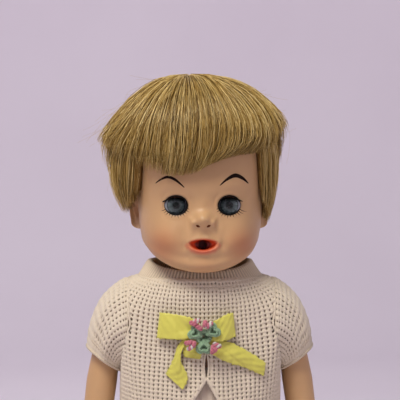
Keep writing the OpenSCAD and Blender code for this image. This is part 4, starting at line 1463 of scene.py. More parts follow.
def drape(base):
    """Hangs the base grid as cloth over the body form and returns the settled grid (ten times life size inside)."""
    scale = 0.01
    rows, columns = base.shape[:2]
    start = base.copy()
    low = smoothstep(262, 205, start[..., 2])[..., None]
    start[..., :2] *= 1 + 0.045 * low
    mesh = bpy.data.meshes.new("drape")
    mesh.from_pydata((start.reshape(-1, 3) * scale).tolist(), [], grid_faces(rows, columns, True))
    cloth = bpy.data.objects.new("drape", mesh)
    bpy.context.scene.collection.objects.link(cloth)
    pin = cloth.vertex_groups.new(name="pin")
    flat = base.reshape(-1, 3)
    to_arm = np.hypot(flat[:, 1], flat[:, 2] - SHOULDER_Z)
    held = ((np.abs(flat[:, 0]) > 34) & (to_arm < ARMHOLE_R + 4)) | (flat[:, 2] > 268)
    for i in np.nonzero(held)[0]:
        pin.add([int(i)], 1.0, "REPLACE")
    body = bpy.data.objects.new("drape_form", frame["nodes"]["pants"].data.copy())
    body.matrix_world = frame["nodes"]["pants"].matrix_world.copy()
    body.data.transform(body.matrix_world)
    body.matrix_world.identity()
    body.data.transform(Matrix.Scale(scale / MM, 4))
    bpy.context.scene.collection.objects.link(body)
    body.modifiers.new("hit", "COLLISION")
    body.collision.thickness_outer = 0.012
    mod = cloth.modifiers.new("cloth", "CLOTH")
    mod.settings.quality = 6
    mod.settings.mass = 0.25
    mod.settings.tension_stiffness = 12
    mod.settings.compression_stiffness = 12
    mod.settings.bending_stiffness = 0.6
    mod.settings.vertex_group_mass = "pin"
    mod.collision_settings.distance_min = 0.012
    mod.collision_settings.use_self_collision = False
    scene = bpy.context.scene
    mod.point_cache.frame_start = 1
    mod.point_cache.frame_end = 24
    for f in range(1, 25):
        scene.frame_set(f)
    graph = bpy.context.evaluated_depsgraph_get()
    done = cloth.evaluated_get(graph)
    flat = np.empty(len(mesh.vertices) * 3, np.float32)
    done.data.vertices.foreach_get("co", flat)
    settled = flat.reshape(rows, columns, 3) / scale
    scene.frame_set(1)
    for obj in (cloth, body):
        bpy.data.objects.remove(obj, do_unlink=True)
    if not np.isfinite(settled).all() or np.abs(settled - base).max() > 12:
        return base
    for _ in range(2):
        settled[1:-1] = (settled[:-2] + 2 * settled[1:-1] + settled[2:]) / 4
        settled = (np.roll(settled, 1, 1) + 2 * settled + np.roll(settled, -1, 1)) / 4
    # The strip under the back snaps stays flat against them
    flat = (smoothstep(15, 8, np.abs(base[..., 0] - 4)) * (base[..., 1] > 0))[..., None]
    return settled * (1 - flat) + base * flat


def in_armhole(p):
    """Whether points lie inside an armhole."""
    return (np.abs(p[..., 0]) > 33) & (np.hypot(p[..., 1], p[..., 2] - SHOULDER_Z) < ARMHOLE_R)


def in_vent(p):
    """Whether points lie in the front opening or in the slit above it."""
    x, y, z = np.moveaxis(p, -1, 0)
    slit = (np.abs(x - VENT_X) < STITCH_W * 0.5) & (np.abs(z - SLIT_Z) < SLIT_HALF)
    reach = VENT_SLOPE * (VENT_TOP - z)
    wedge = (z < VENT_TOP) & (np.abs(x - VENT_X * smoothstep(200, 238, z)) < reach)
    return (y < 0) & (slit | wedge)


def snap_top(p):
    """Moves edge points on to the armhole circle or the sides of the front opening."""
    p = p.copy()
    from_axis = np.hypot(p[:, 1], p[:, 2] - SHOULDER_Z)
    arm = (np.abs(p[:, 0]) > 33) & (from_axis < ARMHOLE_R + 3)
    k = ARMHOLE_R / np.maximum(from_axis, 1)
    p[arm, 1] *= k[arm]
    p[arm, 2] = SHOULDER_Z + (p[arm, 2] - SHOULDER_Z) * k[arm]
    vent = ~arm & (p[:, 1] < 0) & (p[:, 2] < VENT_TOP + 1)
    mid = VENT_X * smoothstep(200, 238, p[:, 2])
    reach = VENT_SLOPE * np.maximum(VENT_TOP - p[:, 2], 0)
    p[vent, 0] = (mid + np.where(p[:, 0] > mid, reach, -reach))[vent]
    return p


def chest_shape(p):
    """Sewn slit above the opening, and a slight roll of the cloth beside it."""
    front = p[..., 1] < 0
    slit = -1.1 * bell(p[..., 0], 1.4, 0.9) * smoothstep(240, 242, p[..., 2]) * smoothstep(253, 250, p[..., 2])
    beside = np.abs(p[..., 0] - VENT_X) - VENT_SLOPE * np.maximum(VENT_TOP - p[..., 2], 0)
    roll = 0.7 * bell(beside, 1.5, 2.0) * (p[..., 2] < VENT_TOP + 2)
    return (slit + roll) * front


def surface_line(tree, points_xz):
    """Front surface points of the top at each (x, z)."""
    line = []
    for x, z in points_xz:
        hit = tree.ray_cast(Vector((x, -100, z)), Vector((0, 1, 0)))[0]
        line.append(tuple(hit) if hit else (x, -38, z))
    return np.array(line)


def armhole_line(tree, side, count=120):
    """Points of the armhole's edge, where the circle about the shoulder axis meets the top."""
    line = []
    for a in np.linspace(0, TAU, count, endpoint=False):
        y = ARMHOLE_R * math.sin(a)
        z = SHOULDER_Z + ARMHOLE_R * math.cos(a)
        hit = tree.ray_cast(Vector((side * 120, y, z)), Vector((-side, 0, 0)))[0]
        line.append((hit.x if hit else side * 40.5, y, z))
    line = np.array(line)
    line[:, 0] = side * np.minimum(np.abs(line[:, 0]), 41.0)
    return line


def build_top():
    """Knit body with its armhole, hem and opening cords; returns its surface tree and grid."""
    tree = hull_tree("knit_top")
    base, girth = top_base(tree)
    base = drape(base)
    cells_u = int(round(girth / STITCH_W))
    height = np.linalg.norm(np.diff(base, axis=0), axis=2).sum(0).mean()
    cells_v = int(round(height / STITCH_H))
    top = knit_panel("knit_body", base, cells_u, cells_v, gone=lambda p: in_armhole(p) | in_vent(p), snap=snap_top,
                     shape=chest_shape, solid_rows=1)
    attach(top, "torso")
    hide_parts("knit_top")
    for side in (-1, 1):
        edge = armhole_line(tree, side)
        ring_cord(f"armhole_seam_{SIDE_NAMES[side]}", edge, 0.6, cream_yarn, body="torso")
    hem = base[0]
    line = resample(np.vstack([hem, hem[:1]]), 240)
    split = ~in_vent(line + np.array([0, 0, 0.5]))
    start = max(range(240), key=lambda k: (split[k] and not split[k - 1], k))
    path = [line[(start + k) % 240] for k in range(240) if split[(start + k) % 240]]
    open_cord("top_hem", np.array(path), 1.0, rib_yarn, "torso")
    for side in (-1, 1):
        zs = np.linspace(HEM_Z + 0.5, VENT_TOP, 46)
        xs = VENT_X * smoothstep(200, 238, zs) + side * VENT_SLOPE * (VENT_TOP - zs)
        edge = surface_line(tree, np.stack([xs, zs], -1))
        edge[:, 1] -= 0.1
        open_cord(f"opening_hem_{SIDE_NAMES[side]}", edge, 1.05, cream_yarn, "torso")
        zs = np.linspace(VENT_TOP, 251.5, 16)
        xs = VENT_X + side * (0.5 + 0.85 * np.sin(np.linspace(0.3, math.pi, 16)))
        edge = surface_line(tree, np.stack([xs, zs], -1))
        open_cord(f"slit_hem_{SIDE_NAMES[side]}", edge, 0.6, cream_yarn, "torso")
    return tree, base


def build_sleeve(side):
    """Short puffed knit sleeve that rides with the arm."""
    name = SIDE_NAMES[side]
    rings = [
        ((40.9, 0, SHOULDER_Z), (0, 0, 25.2), 25.2),
        ((42.6, 0, 263.4), (0.9, 0, 24.4), 24.6),
        ((46.2, 0, 261.2), (3.9, 0, 21.9), 22.4),
        ((50.0, 0, 257.6), (6.4, 0, 18.2), 19.6),
        ((53.4, 0, 250.6), (8.8, 0, 11.6), 16.2),
        ((54.8, 0, 244.0), (9.8, 0, 7.0), 13.6),
    ]
    around = np.linspace(0, TAU, 96, endpoint=False)
    grid = []
    for centre, a, b in rings:
        p = np.array(centre) + np.cos(around)[:, None] * np.array(a) - np.sin(around)[:, None] * np.array([0, b, 0])
        p[:, 1] += 0.35 * np.sin(7 * around) * (a[0] > 1)
        grid.append(p)
    grid = catmull(np.array(grid), np.linspace(0, len(rings) - 1, 24))
    puff = smoothstep(0, 5, np.arange(24)) * smoothstep(23, 16, np.arange(24))
    n = grid_normals(grid, True)
    if (n[12, 0] @ np.array([0.5, 0, 0.8])) < 0:
        n = -n
    grid = grid + n * (0.9 * puff)[:, None, None] * (1 + 0.35 * np.sin(9 * around + 1))[None, :, None]
    mirror = np.array([side, 1, 1])
    grid = grid * mirror
    if (grid_normals(grid, True)[12, 0] @ np.array([0.5 * side, 0, 0.8])) < 0:
        grid = grid[:, ::-1]
    cells_u = 46
    length = np.linalg.norm(np.diff(grid, axis=0), axis=2).sum(0).mean()
    sleeve = knit_panel(f"knit_sleeve_{name}", grid, cells_u, int(round(length / STITCH_H)), thickness=0.9)
    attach(sleeve, f"arm_{name}")
    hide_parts(f"sleeve_{name}")
    for row, r in ((-1, 0.95), (-4, 0.6)):
        ring_cord(f"sleeve_edge_{name}_{-row}", resample(grid[row], 130, True), r, rib_yarn, body=f"arm_{name}")


collar_tone = srgb(222, 207, 182)
collar_yarn = new_material("collar_yarn", collar_tone, 0.9, Sheen_Weight=0.25)
link(collar_yarn, paint_colour(collar_yarn), shader_of(collar_yarn).inputs["Base Color"])
vary_roughness(collar_yarn, noise_node(collar_yarn, 1.0), 0.8, 0.98)


def build_collar(tree):
    """Ribbed stand-up band, low at the front, folded over at its top edge."""
    ribs = 100
    count = ribs * 6
    around = np.linspace(0, TAU, count, endpoint=False)
    ahead = np.clip(np.cos(around), 0, 1) ** 1.3
    top = CHIN_Z + 3.6 - 5.0 * ahead
    bottom = np.empty(count)
    profile = [(35.6, -0.02), (35.0, 0.1), (33.4, 0.35), (31.6, 0.66), (30.1, 0.92), (29.2, 1.05),
               (28.3, 1.06), (27.8, 0.95), (28.6, 0.7), (30.6, 0.35), (33.0, 0.02)]
    rows = []
    rib = np.cos(around * ribs)
    rib = np.sign(rib) * np.abs(rib) ** 0.7
    for i, a in enumerate(around):
        foot = Vector((35.6 * math.sin(a), -35.6 * 0.87 * math.cos(a), 400))
        bottom[i] = tree.ray_cast(foot, Vector((0, 0, -1)))[0].z - 0.5
    for k, (r, share) in enumerate(profile):
        deep = 0.72 * smoothstep(-1, 1, k) * smoothstep(10, 7, k)
        radius = r + deep * rib + 0.12 * np.sin(around * 5 + k)
        z = bottom + (top - bottom) * share
        rows.append(np.stack([radius * np.sin(around), -radius * 0.87 * np.cos(around), z], -1))
    grid = np.array(rows)
    verts = grid.reshape(-1, 3)
    faces = grid_faces(len(rows), count, True)
    last = (len(rows) - 1) * count
    faces += [((i + 1) % count, i, last + i, last + (i + 1) % count) for i in range(count)]
    obj = make_object("rib_collar", verts, faces, collar_yarn)
    # Painted shade: the valleys between the ribs are painted darker than the crests.
    shade = 0.62 + 0.38 * smoothstep(-0.9, 0.5, np.cos(around * ribs))
    paint(obj, np.clip(np.tile(shade, len(rows))[:, None] * collar_tone, 0, 1))
    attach(obj, "torso")
    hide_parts("collar")
    ring_cord("collar_seam", resample(grid[0] + np.array([0, 0, 0.5]), 200, True), 0.55, rib_yarn, body="torso")


top_tree, top_grid = build_top()
for limb_side in (-1, 1):
    build_sleeve(limb_side)
build_collar(top_tree)


# ------------------------------------------------------------------ soft solids remeshed from the frame

def remeshed_node(node, name, voxel_mm, smooth_steps, material):
    """Even, smoothed copy of a node's mesh at rest."""
    source = frame["nodes"][node]
    mesh = source.data.copy()
    mesh.transform(source.matrix_world)
    obj = bpy.data.objects.new(name, mesh)
    bpy.context.scene.collection.objects.link(obj)
    weld = obj.modifiers.new("weld", "WELD")
    weld.merge_threshold = 1e-5
    mod = obj.modifiers.new("remesh", "REMESH")
    mod.mode = "VOXEL"
    mod.voxel_size = voxel_mm * MM
    if smooth_steps:
        soft = obj.modifiers.new("soft", "SMOOTH")
        soft.factor = 0.5
        soft.iterations = smooth_steps
    bake_modifiers(obj)
    obj.data.materials.clear()
    obj.data.materials.append(material)
    obj.data.polygons.foreach_set("use_smooth", [True] * len(obj.data.polygons))
    return obj


def points_of(obj):
    """Vertex positions in millimetres."""
    flat = np.empty(len(obj.data.vertices) * 3, np.float32)
    obj.data.vertices.foreach_get("co", flat)
    return flat.reshape(-1, 3).astype(float) / MM


def normals_of(obj):
    """Vertex normals."""
    flat = np.empty(len(obj.data.vertices) * 3, np.float32)
    obj.data.vertices.foreach_get("normal", flat)
    return flat.reshape(-1, 3).astype(float)


def move_points(obj, points):
    """Writes vertex positions given in millimetres."""
    obj.data.vertices.foreach_set("co", (points * MM).astype(np.float32).ravel())
    obj.data.update()


def build_pants_leg(side, node, material):
    """Ribbed cloth leg: rings from the hem up to the hip, then a dome over it, with two soft folds."""
    tree = hull_tree(node)
    low = box_mm(node)[0][2]
    hip = box_mm(node)[1][2] - 26
    around = np.linspace(0, TAU, 216, endpoint=False)
    rows = [((side * 30.5, -1.0, z), 0.0) for z in np.linspace(low + 0.2, hip, 46)]
    rows += [((side * 30.5, -1.0, hip), a) for a in np.linspace(0.05, math.pi / 2 - 0.03, 22)]
    outer = np.empty((len(rows), len(around), 3))
    for k, (start, lift) in enumerate(rows):
        for i, a in enumerate(around):
            aim = Vector((math.sin(a) * math.cos(lift), -math.cos(a) * math.cos(lift), math.sin(lift)))
            outer[k, i] = tree.ray_cast(Vector(start), aim)[0]
    n = outer - np.array([side * 30.5, -1.0, 0])
    n[..., 2] = np.maximum(outer[..., 2] - hip, 0)
    n /= np.maximum(np.linalg.norm(n, axis=2, keepdims=True), 1e-6)
    fade = smoothstep(len(rows) - 1, len(rows) - 14, np.arange(len(rows)))[:, None]
    z = outer[..., 2]
    folds = np.sin((z - low) / 7.5 + 2.0 * np.sin(around)[None]) * smoothstep(low + 4, low + 16, z) * 0.22
    ribbing = 0.24 * np.cos(around * 27)[None] * fade
    free = smoothstep(0.0, 1.5, np.abs(outer[..., 0]) - abs(box_mm(node)[0 if side > 0 else 1][0]))
    outer = outer + n * ((ribbing + folds) * free - 0.35)[..., None]
    keep = np.ones((len(rows) - 1, len(around)), bool)
    return thick_sheet(f"ribbed_{node}", outer, outer - n * 0.75, keep, True, material)


def build_pants():
    """Ribbed pants, their legs and cuffs."""
    ribs = new_material("pants_yarn", srgb(204, 188, 168), 0.88, Sheen_Weight=0.3)
    vary_roughness(ribs, noise_node(ribs, 1.6), 0.8, 0.95)
    add_bump(ribs, noise_node(ribs, 0.5, 4, 0.6).outputs["Fac"], 0.6, 0.3)
    obj = remeshed_node("pants", "ribbed_pants", 0.95, 1, ribs)
    p = points_of(obj)
    n = normals_of(obj)
    wave = np.cos(np.arctan2(p[:, 0], -p[:, 1]) * 44)
    face_out = (n[:, 0] * p[:, 0] + n[:, 1] * p[:, 1]) > 0
    move_points(obj, p + n * (0.32 * (wave - 0.6) * face_out)[:, None])
    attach(obj, "torso")
    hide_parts("pants")
    for side in (-1, 1):
        name = SIDE_NAMES[side]
        obj = build_pants_leg(side, f"pants_leg_{name}", ribs)
        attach(obj, f"leg_{name}")
        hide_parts(f"pants_leg_{name}")
        around = np.linspace(0, TAU, 130, endpoint=False)
        line = np.stack([side * (30.5 + 18.9 * np.cos(around)), -1 + 18.9 * np.sin(around),
                         np.full(130, box_mm("pants_leg_left")[0][2] + 0.9)], -1)
        line[:, 0] = side * np.maximum(np.abs(line[:, 0]), 14.6)
        ring_cord(f"pants_cuff_{name}", line, 0.95, ribs, body=f"leg_{name}")


build_pants()


# ------------------------------------------------------------------ arms and legs

def crease(points, at, axis, reach, width, depth, facing=None):
    """Groove across a limb where the distance along axis from at is small."""
    axis = np.asarray(axis, float)
    axis /= np.linalg.norm(axis)
    off = points - np.asarray(at, float)
    along = off @ axis
    near = np.exp(-(np.linalg.norm(off, axis=1) / reach) ** 4)
    g = depth * np.exp(-(along / width) ** 2) * near
    if facing is not None:
        facing = np.asarray(facing, float)
        g = g * smoothstep(-0.3, 0.5, (off @ facing) / np.maximum(np.linalg.norm(off, axis=1), 1e-6))
    return g


def build_arm(side):
    """Vinyl arm with creases at the wrist and elbow and grooves between the fingers."""
    name = SIDE_NAMES[side]
    obj = remeshed_node(f"arm_{name}", f"vinyl_arm_{name}", 0.8, 9, limb_vinyl)
    p = points_of(obj)
    q = p * np.array([side, 1, 1])
    s = 39.0
    z = SHOULDER_Z
    wrist = np.array([s + 25, -20, z - 80])
    elbow = np.array([s + 20, -3, z - 54])
    n = normals_of(obj)
    dent = crease(q, wrist, (0.2, -0.55, -0.8), 11, 0.9, 0.75)
    dent += crease(q, elbow + np.array([0, -4, -2]), (0.1, -0.4, -0.9), 13, 0.8, 0.6, (0, -1, 0))
    dent += crease(q, elbow + np.array([0, -5, -5.5]), (0.1, -0.5, -0.9), 12, 0.7, 0.35, (0, -1, 0))
    for i in range(3):
        gap = np.array([s + 28, -31.3 + 4.3 * i, z - 95])
        dent += 0.35 * np.exp(-((q[:, 1] - gap[1]) / 0.6) ** 2) * np.exp(-(np.linalg.norm(q - gap, axis=1) / 7) ** 2)
    p = p - n * dent[:, None]
    move_points(obj, p)
    warm = np.exp(-(np.linalg.norm(q - elbow - np.array([0, 9, -3]), axis=1) / 8) ** 2) * 0.5
    # The hand is blushed, and the creases get the blush colour by their depth, which is painted shade.
    warm += smoothstep(z - 96, z - 103, q[:, 2]) * 0.45 + np.clip(dent, 0, 0.5) * 0.6
    paint_skin(obj, np.clip(warm, 0, 0.8))
    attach(obj, f"arm_{name}")
    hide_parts(f"arm_{name}")


def build_leg(side):
    """Vinyl leg with creases at the knee and ankle and grooves between the toes."""
    name = SIDE_NAMES[side]
    obj = remeshed_node(f"leg_{name}", f"vinyl_leg_{name}", 1.0, 9, limb_vinyl)
    p = points_of(obj)
    q = p * np.array([side, 1, 1])
    n = normals_of(obj)
    dent = crease(q, (29, -10, 94), (0, 0.1, 1), 17, 1.2, 0.8, (0, -1, 0))
    dent += crease(q, (29, 10, 90), (0, -0.2, 1), 17, 1.2, 1.0, (0, 1, 0))
    dent += crease(q, (27.5, -8, 22), (0, -0.5, 1), 12, 1.0, 0.7, (0, -1, 0))
    above = smoothstep(1.2, 3, q[:, 2])
    for i in range(4):
        x = 23.4 + 4.1 * i
        dent += 0.7 * np.exp(-((q[:, 0] - x) / 0.7) ** 2) * smoothstep(-38, -44, q[:, 1]) * above
    dent *= above
    p = p - n * dent[:, None]
    p[:, 2] = np.maximum(p[:, 2], 0.0)
    move_points(obj, p)
    knee = np.exp(-(np.linalg.norm(q - np.array([29, -17, 88]), axis=1) / 10) ** 2) * 0.5
    # The knee and toes are blushed, and the creases and toe grooves get the blush colour by their depth, which is
    # painted shade.
    warm = knee + smoothstep(-42, -50, q[:, 1]) * 0.4 + np.clip(dent, 0, 0.6) * 0.5
    paint_skin(obj, np.clip(warm, 0, 0.8))
    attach(obj, f"leg_{name}")
    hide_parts(f"leg_{name}")


for limb_side in (-1, 1):
    build_arm(limb_side)
    build_leg(limb_side)


# ------------------------------------------------------------------ ribbon bow and crochet flower

ribbon = new_material("ribbon_satin", srgb(216, 210, 92), 0.42, Sheen_Weight=0.25)
vary_roughness(ribbon, noise_node(ribbon, 3, 3, 0, (1, 1, 6)), 0.36, 0.6)
add_bump(ribbon, noise_node(ribbon, 0.35, 2, 0, (6, 1, 1)).outputs["Fac"], 0.35, 0.1)


def chest_y(x, z):
    """Depth of the knit top's front at (x, z)."""
    hit = top_tree.ray_cast(Vector((x, -100, z)), Vector((0, 1, 0)))[0]
    return hit.y if hit else -36.0


def ribbon_strip(name, edge_a, edge_b, steps=64, across=15, gather=0.0, crown=0.0):
    """Thin strip between two edges given as x, height and lift off the chest."""
    t = np.linspace(0, len(edge_a) - 1, steps)
    a = catmull(np.array(edge_a, float), t)
    b = catmull(np.array(edge_b, float), t)
    grid = np.empty((steps, across, 3))
    crease_lift = np.zeros((steps, across))
    ii, jj = np.meshgrid(np.linspace(0, 1, steps), np.linspace(0, 1, across), indexing="ij")
    for _ in range(9):
        turn, place, sharp = rng.uniform(-1.2, 1.2), rng.uniform(0, 1), rng.uniform(0.03, 0.09)
        away = (ii - place) * math.cos(turn) * 2 + (jj - 0.5) * math.sin(turn)
        crease_lift += rng.uniform(-0.5, 0.55) * np.exp(-np.abs(away) / sharp)
    for j in range(across):
        f = j / (across - 1)
        row = a * (1 - f) + b * f
        lift = row[:, 2] + crown * math.sin(math.pi * f)
        lift = lift + gather * np.sin(f * 9) * smoothstep(0.35, 0, t / t[-1]) * 0.9
        lift = lift + 0.25 * np.sin(f * 5 + t * 2.2) + 0.16 * np.sin(f * 17 + t * 9)
        lift = lift + 0.07 * rng.normal(0, 1, len(t))
        fray = 0.22 * rng.normal(0, 1, (steps, 2)) * (j in (0, across - 1))
        lift = lift + crease_lift[:, j]
        for i in range(steps):
            depth = chest_y(row[i, 0], row[i, 1]) - 0.9 - lift[i]
            grid[i, j] = (row[i, 0] + fray[i, 0], depth, row[i, 1] + fray[i, 1])
    n = grid_normals(grid, False)
    keep = np.ones((steps - 1, across - 1), bool)
    obj = thick_sheet(name, grid + n * 0.13, grid - n * 0.13, keep, False, ribbon)
    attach(obj, "torso")
    return obj


def build_bow():
    """Two loops and three tails of ribbon."""
    first = ribbon_strip("bow_loop_left", [(-2, 269, 3.4), (-8, 271.8, 4.4), (-15, 273, 4.6),
         (-21.5, 273.5, 3.4),
                                           (-23.4, 273.4, 1.9), (-21, 272.8, 0.9), (-12, 271, 0.8),
                                                (-3, 268, 0.9)],
                         [(-3, 262, 3.4), (-9, 259.8, 4.4), (-16, 259.3, 4.6), (-23, 259.4, 3.4),
                              (-25.0, 259.6, 1.9),
                          (-22.5, 260, 0.9), (-12, 260.6, 0.8), (-3, 262, 0.9)], gather=0.5)
    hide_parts("ribbon_bow")
    ribbon_strip("bow_loop_right", [(2, 268, 3.2), (5.5, 269.4, 4.2), (11, 272, 4.4),
         (15.6, 273.4, 3.2), (16.8, 273, 1.8),
                                    (15, 272, 0.9), (9, 269.6, 0.8), (3, 267, 0.9)],
                 [(3, 260, 3.2), (7, 258.2, 4.2), (12, 258.6, 4.4), (17, 260, 3.2), (18.2, 260.6, 1.8),
                      (16, 261, 0.9),
                  (10, 260.4, 0.8), (3, 261, 0.9)], gather=0.5)
    ribbon_strip("bow_tail_left", [(-9, 261, 1.6), (-13.6, 256, 2.4), (-15.8, 249, 2.2),
         (-18.4, 243.6, 1.2), (-20.2, 239.8, 0.7)],
                 [(-6, 260, 2.2), (-10.6, 255, 3.0), (-12.0, 248, 3.2), (-8.2, 238.6, 1.4),
                      (-10.9, 231.8, 0.7)], crown=0.5)
    ribbon_strip("bow_tail_middle", [(-9.6, 261, 1.2), (-11.3, 257, 1.5), (-10.4, 249.6, 1.2)],
                 [(1, 260, 1.2), (0.6, 255, 1.5), (-1.6, 248.6, 1.2)], steps=30, crown=0.4)
    ribbon_strip("bow_tail_right", [(3, 262, 1.4), (9.5, 259, 2.0), (17, 256.6, 2.2), (26, 251.4, 1.6),
         (35.2, 245.2, 0.8)],
                 [(1, 254.6, 1.4), (7.3, 249.9, 2.4), (13.6, 246.6, 2.6), (22, 243.6, 1.8),
                      (34.1, 237.8, 0.8)], crown=0.9,
                 gather=0.35)


yarns = {
    "green": new_material("green_yarn", srgb(150, 186, 146), 0.85, Sheen_Weight=0.3),
    "pink": new_material("pink_yarn", srgb(214, 122, 138), 0.85, Sheen_Weight=0.3),
    "white": new_material("white_yarn", srgb(232, 224, 214), 0.85, Sheen_Weight=0.3),
}
for yarn_mat in yarns.values():
    vary_roughness(yarn_mat, noise_node(yarn_mat, 1.0), 0.75, 0.95)
    add_bump(yarn_mat, noise_node(yarn_mat, 0.3, 4, 0.8, (1, 1, 2)).outputs["Fac"], 1.0, 0.4)


def yarn_loop(centre_x, centre_z, y, outline, radius):
    """Closed loop of yarn along a flat outline."""
    line = np.stack([centre_x + outline[:, 0], np.full(len(outline), y), centre_z + outline[:, 1]], -1)
    radii = radius * (1 + 0.12 * np.cos(np.arange(len(line)) * 1.9))
    return tube(line, radii, 8, closed=True)


def heart(size, turn, count=44):
    """Heart outline of a size, its point turned away from up by turn."""
    a = np.linspace(0, TAU, count, endpoint=False)
    x = 16 * np.sin(a) ** 3
    z = 13 * np.cos(a) - 5 * np.cos(2 * a) - 2 * np.cos(3 * a) - np.cos(4 * a)
    p = np.stack([x, z + 2], -1) / 16 * size
    c, s = math.cos(turn), math.sin(turn)
    return np.stack([p[:, 0] * c - p[:, 1] * s, p[:, 0] * s + p[:, 1] * c], -1)


# Wrapped yarn knots: x, height, turn in degrees, length and yarn.
ROSE_KNOTS = [
    (-5.2, 268.6, 160, 4.4, "pink"), (-2.4, 266.6, 145, 4.6, "pink"), (-3.6, 270.0, 20, 3.6, "white"),
    (3.2, 267.8, 40, 4.8, "white"), (1.0, 268.4, 80, 3.4, "pink"), (-7.8, 258.2, 10, 4.6, "pink"),
    (-6.8, 255.6, 35, 4.4, "white"), (-5.2, 257.2, 70, 3.4, "pink"), (5.2, 254.4, 84, 4.8, "pink"),
    (7.6, 256.8, -24, 4.6, "white"), (6.6, 254.6, 60, 3.4, "pink"),
]


def build_flower():
    """Three leaves of yarn hearts, a round back and wrapped knots."""
    front = chest_y(0, 260) - 6.0
    middle = np.array([0.4, 260.8])
    leaves = []
    for at in ((-3.8, 263.2), (5.0, 264.2), (0.4, 255.8)):
        away = np.array(at) - middle
        turn = math.atan2(away[1], away[0]) - math.pi / 2
        leaves.append(yarn_loop(at[0], at[1], front + 0.3, heart(3.7, turn), 0.78))
        leaves.append(yarn_loop(at[0], at[1], front - 0.5, heart(2.5, turn), 0.68))
        leaves.append(yarn_loop(at[0], at[1], front + 1.3, heart(1.4, turn), 0.9))
    green = make_object("flower_leaves", *join_meshes(leaves), yarns["green"])
    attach(green, "torso")
    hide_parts("flower_applique")
    knots = {"pink": [], "white": []}
    for x, z, turn, length, yarn in ROSE_KNOTS:
        s = np.linspace(-0.5, 0.5, 26)
        dx = math.cos(math.radians(turn)) * length * s
        dz = math.sin(math.radians(turn)) * length * s
        arc = 1.3 * (1 - (2 * s) ** 2)
        line = np.stack([x + dx, front - 0.4 - arc, z + dz], -1)
        radii = 0.72 * (1 - 0.4 * np.abs(2 * s) ** 4)
        over = np.array([-math.sin(math.radians(turn)), 0, math.cos(math.radians(turn))])
        for k, strand in enumerate(("pink", yarn)):
            phase = s * TAU * 1.6 + k * math.pi
            wound = line + 0.72 * (np.cos(phase)[:, None] * over + np.sin(phase)[:, None] * np.array([0, 1, 0]))
            knots[strand].append(tube(wound, radii, 8))
    for yarn, parts in knots.items():
        obj = make_object(f"flower_knots_{yarn}", *join_meshes(parts), yarns[yarn])
        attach(obj, "torso")
    a = np.linspace(0, TAU, 24, endpoint=False)
    circle = np.stack([np.cos(a), np.sin(a)], -1)
    knot = [yarn_loop(*middle, front + 1.2 + 0.7 * k, circle * (3.4 - 0.4 * k), 1.1) for k in range(5)]
    back = make_object("flower_back", *join_meshes(knot), yarns["green"])
    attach(back, "torso")


build_bow()
build_flower()


# ------------------------------------------------------------------ materials of the pieces kept from the frame

def plain_material(name, colour, low, high, grain, bump, metal=0.0):
    """Material of a hard piece from a screen colour, a roughness range, a grain and a bump."""
    mat = new_material(name, srgb(*colour), (low + high) / 2, Metallic=metal)
    vary_roughness(mat, noise_node(mat, grain), low, high)
    add_bump(mat, noise_node(mat, grain / 3, 3).outputs["Fac"], bump, 0.1)
    return mat


KEPT = {
    "shell_vinyl": (("body_front", "body_back", "battery_cover"), (214, 164, 126), 0.4, 0.52, 3, 0.1, 0),
    "mouth_rubber": (("mouth_tube", "mouth_plunger"), (150, 36, 14), 0.4, 0.55, 2, 0.1, 0),
    "white_plastic": (("switch_knob",), (226, 224, 216), 0.3, 0.45, 2, 0.08, 0),
    "black_plastic": (("mouth_switch", "power_switch", "battery_box"), (34, 34, 36), 0.35, 0.5, 2, 0.15, 0),
    "red_wire": (("head_wires", "body_wires"), (176, 30, 26), 0.35, 0.5, 2, 0.05, 0),
    # Painted shade: the ivory eye cups are painted near black, for the shade in the sockets round the eyes.
    "eye_cup_shade": (("eye_cup_left", "eye_cup_right"), (24, 20, 18), 0.4, 0.55, 2, 0.1, 0),
    "bright_steel": (("eye_pin_left", "eye_pin_right", "shell_screws", "cover_screw", "contact_springs", "back_snaps"),
                     (186, 188, 192), 0.2, 0.35, 2, 0.1, 1),
    "dull_lead": (("eye_weight_left", "eye_weight_right", "speaker_magnet"), (112, 112, 116), 0.45, 0.6, 2, 0.2, 1),
    "nickel_plate": (("contact_plates",), (204, 198, 178), 0.25, 0.4, 2, 0.1, 1),
    "cell_label": (("cells",), (52, 96, 66), 0.3, 0.4, 4, 0.05, 0),
    "speaker_metal": (("speaker_frame",), (78, 78, 82), 0.4, 0.55, 2, 0.1, 1),
    "speaker_paper": (("speaker_cone",), (34, 32, 30), 0.75, 0.9, 1, 0.3, 0),
    "circuit_green": (("sound_board",), (28, 92, 54), 0.3, 0.45, 3, 0.05, 0),
    "chip_epoxy": (("board_parts",), (22, 22, 24), 0.3, 0.5, 2, 0.1, 0),
}


def dress_kept_nodes():
    """Gives the pieces kept from the frame their materials."""
    for name, (nodes, colour, low, high, grain, bump, metal) in KEPT.items():
        mat = plain_material(name, colour, low, high, grain, bump, metal)
        for node in nodes:
            mesh = frame["nodes"][node].data
            mesh.materials.clear()
            mesh.materials.append(mat)


dress_kept_nodes()

# ------------------------------------------------------------------ stage, light and camera

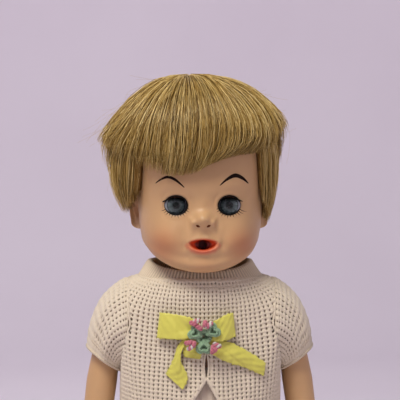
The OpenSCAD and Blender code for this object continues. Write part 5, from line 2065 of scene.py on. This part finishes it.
def build_stage():
    """A pale bowl: a flat floor that curves up into a wall all round."""
    floor_r = 1500.0
    bend = 700.0
    wall_top = 2600.0
    profile = [(0, 0), (floor_r, 0)]
    profile += [(floor_r + bend * math.sin(a), bend * (1 - math.cos(a))) for a in np.linspace(0.1, math.pi / 2, 12)]
    profile.append((floor_r + bend, wall_top))
    segments = 64
    verts = []
    for r, z in profile:
        for i in range(segments):
            a = TAU * i / segments
            verts.append((r * math.cos(a), r * math.sin(a), z - 0.3))
    mat = new_material("stage_paint", srgb(234, 226, 236), 0.9)
    grain = noise_node(mat, 300, 2)
    vary_colour(mat, grain.outputs["Fac"], srgb(230, 221, 232), srgb(238, 230, 240))
    obj = make_object("stage", verts, grid_faces(len(profile), segments, True), mat)


def add_light(name, where, target, size, power, colour):
    """Disk light that faces its target."""
    data = bpy.data.lights.new(name, "AREA")
    data.shape = "DISK"
    data.size = size
    data.energy = power
    data.color = colour
    obj = bpy.data.objects.new(name, data)
    bpy.context.scene.collection.objects.link(obj)
    obj.location = where
    obj.rotation_euler = (Vector(target) - Vector(where)).to_track_quat("-Z", "Y").to_euler()


def build_lights():
    """Key, fill and wall lights and a soft sky."""
    face = (0, 0, 0.33)
    add_light("key", (-0.42, -0.66, 1.52), face, 0.6, 17.0, (1.0, 0.97, 0.9))
    add_light("fill", (1.1, -1.0, 0.5), face, 1.2, 0.8, (1.0, 0.97, 0.95))
    add_light("wall", (-0.3, 0.7, 1.3), (-0.4, 2.2, 0.5), 1.6, 5.0, (0.97, 0.96, 1.0))
    world = bpy.data.worlds.new("soft_sky")
    bpy.context.scene.world = world
    world.use_nodes = True
    world.node_tree.nodes["Background"].inputs["Color"].default_value = (0.86, 0.87, 0.88, 1)
    world.node_tree.nodes["Background"].inputs["Strength"].default_value = 0.36


def build_camera():
    """Level portrait view of the head and chest, as the object is usually shown."""
    distance = 0.66
    view_height = 0.220
    face_y = -0.03
    data = bpy.data.cameras.new("camera")
    data.sensor_fit = "HORIZONTAL"
    data.lens = data.sensor_width * distance / view_height
    data.clip_start = 0.01
    obj = bpy.data.objects.new("camera", data)
    bpy.context.scene.collection.objects.link(obj)
    target = Vector((-0.0012, face_y, (CHIN_Z + 39.2) * MM))
    pitch = math.radians(2)
    turn = math.radians(-2.5)
    away = Vector((math.sin(turn) * math.cos(pitch), -math.cos(turn) * math.cos(pitch), math.sin(pitch)))
    obj.location = target + away * distance
    obj.rotation_euler = (target - obj.location).to_track_quat("-Z", "Y").to_euler()
    bpy.context.scene.camera = obj


build_stage()
build_lights()
build_camera()
bpy.context.scene.view_settings.view_transform = "Standard"
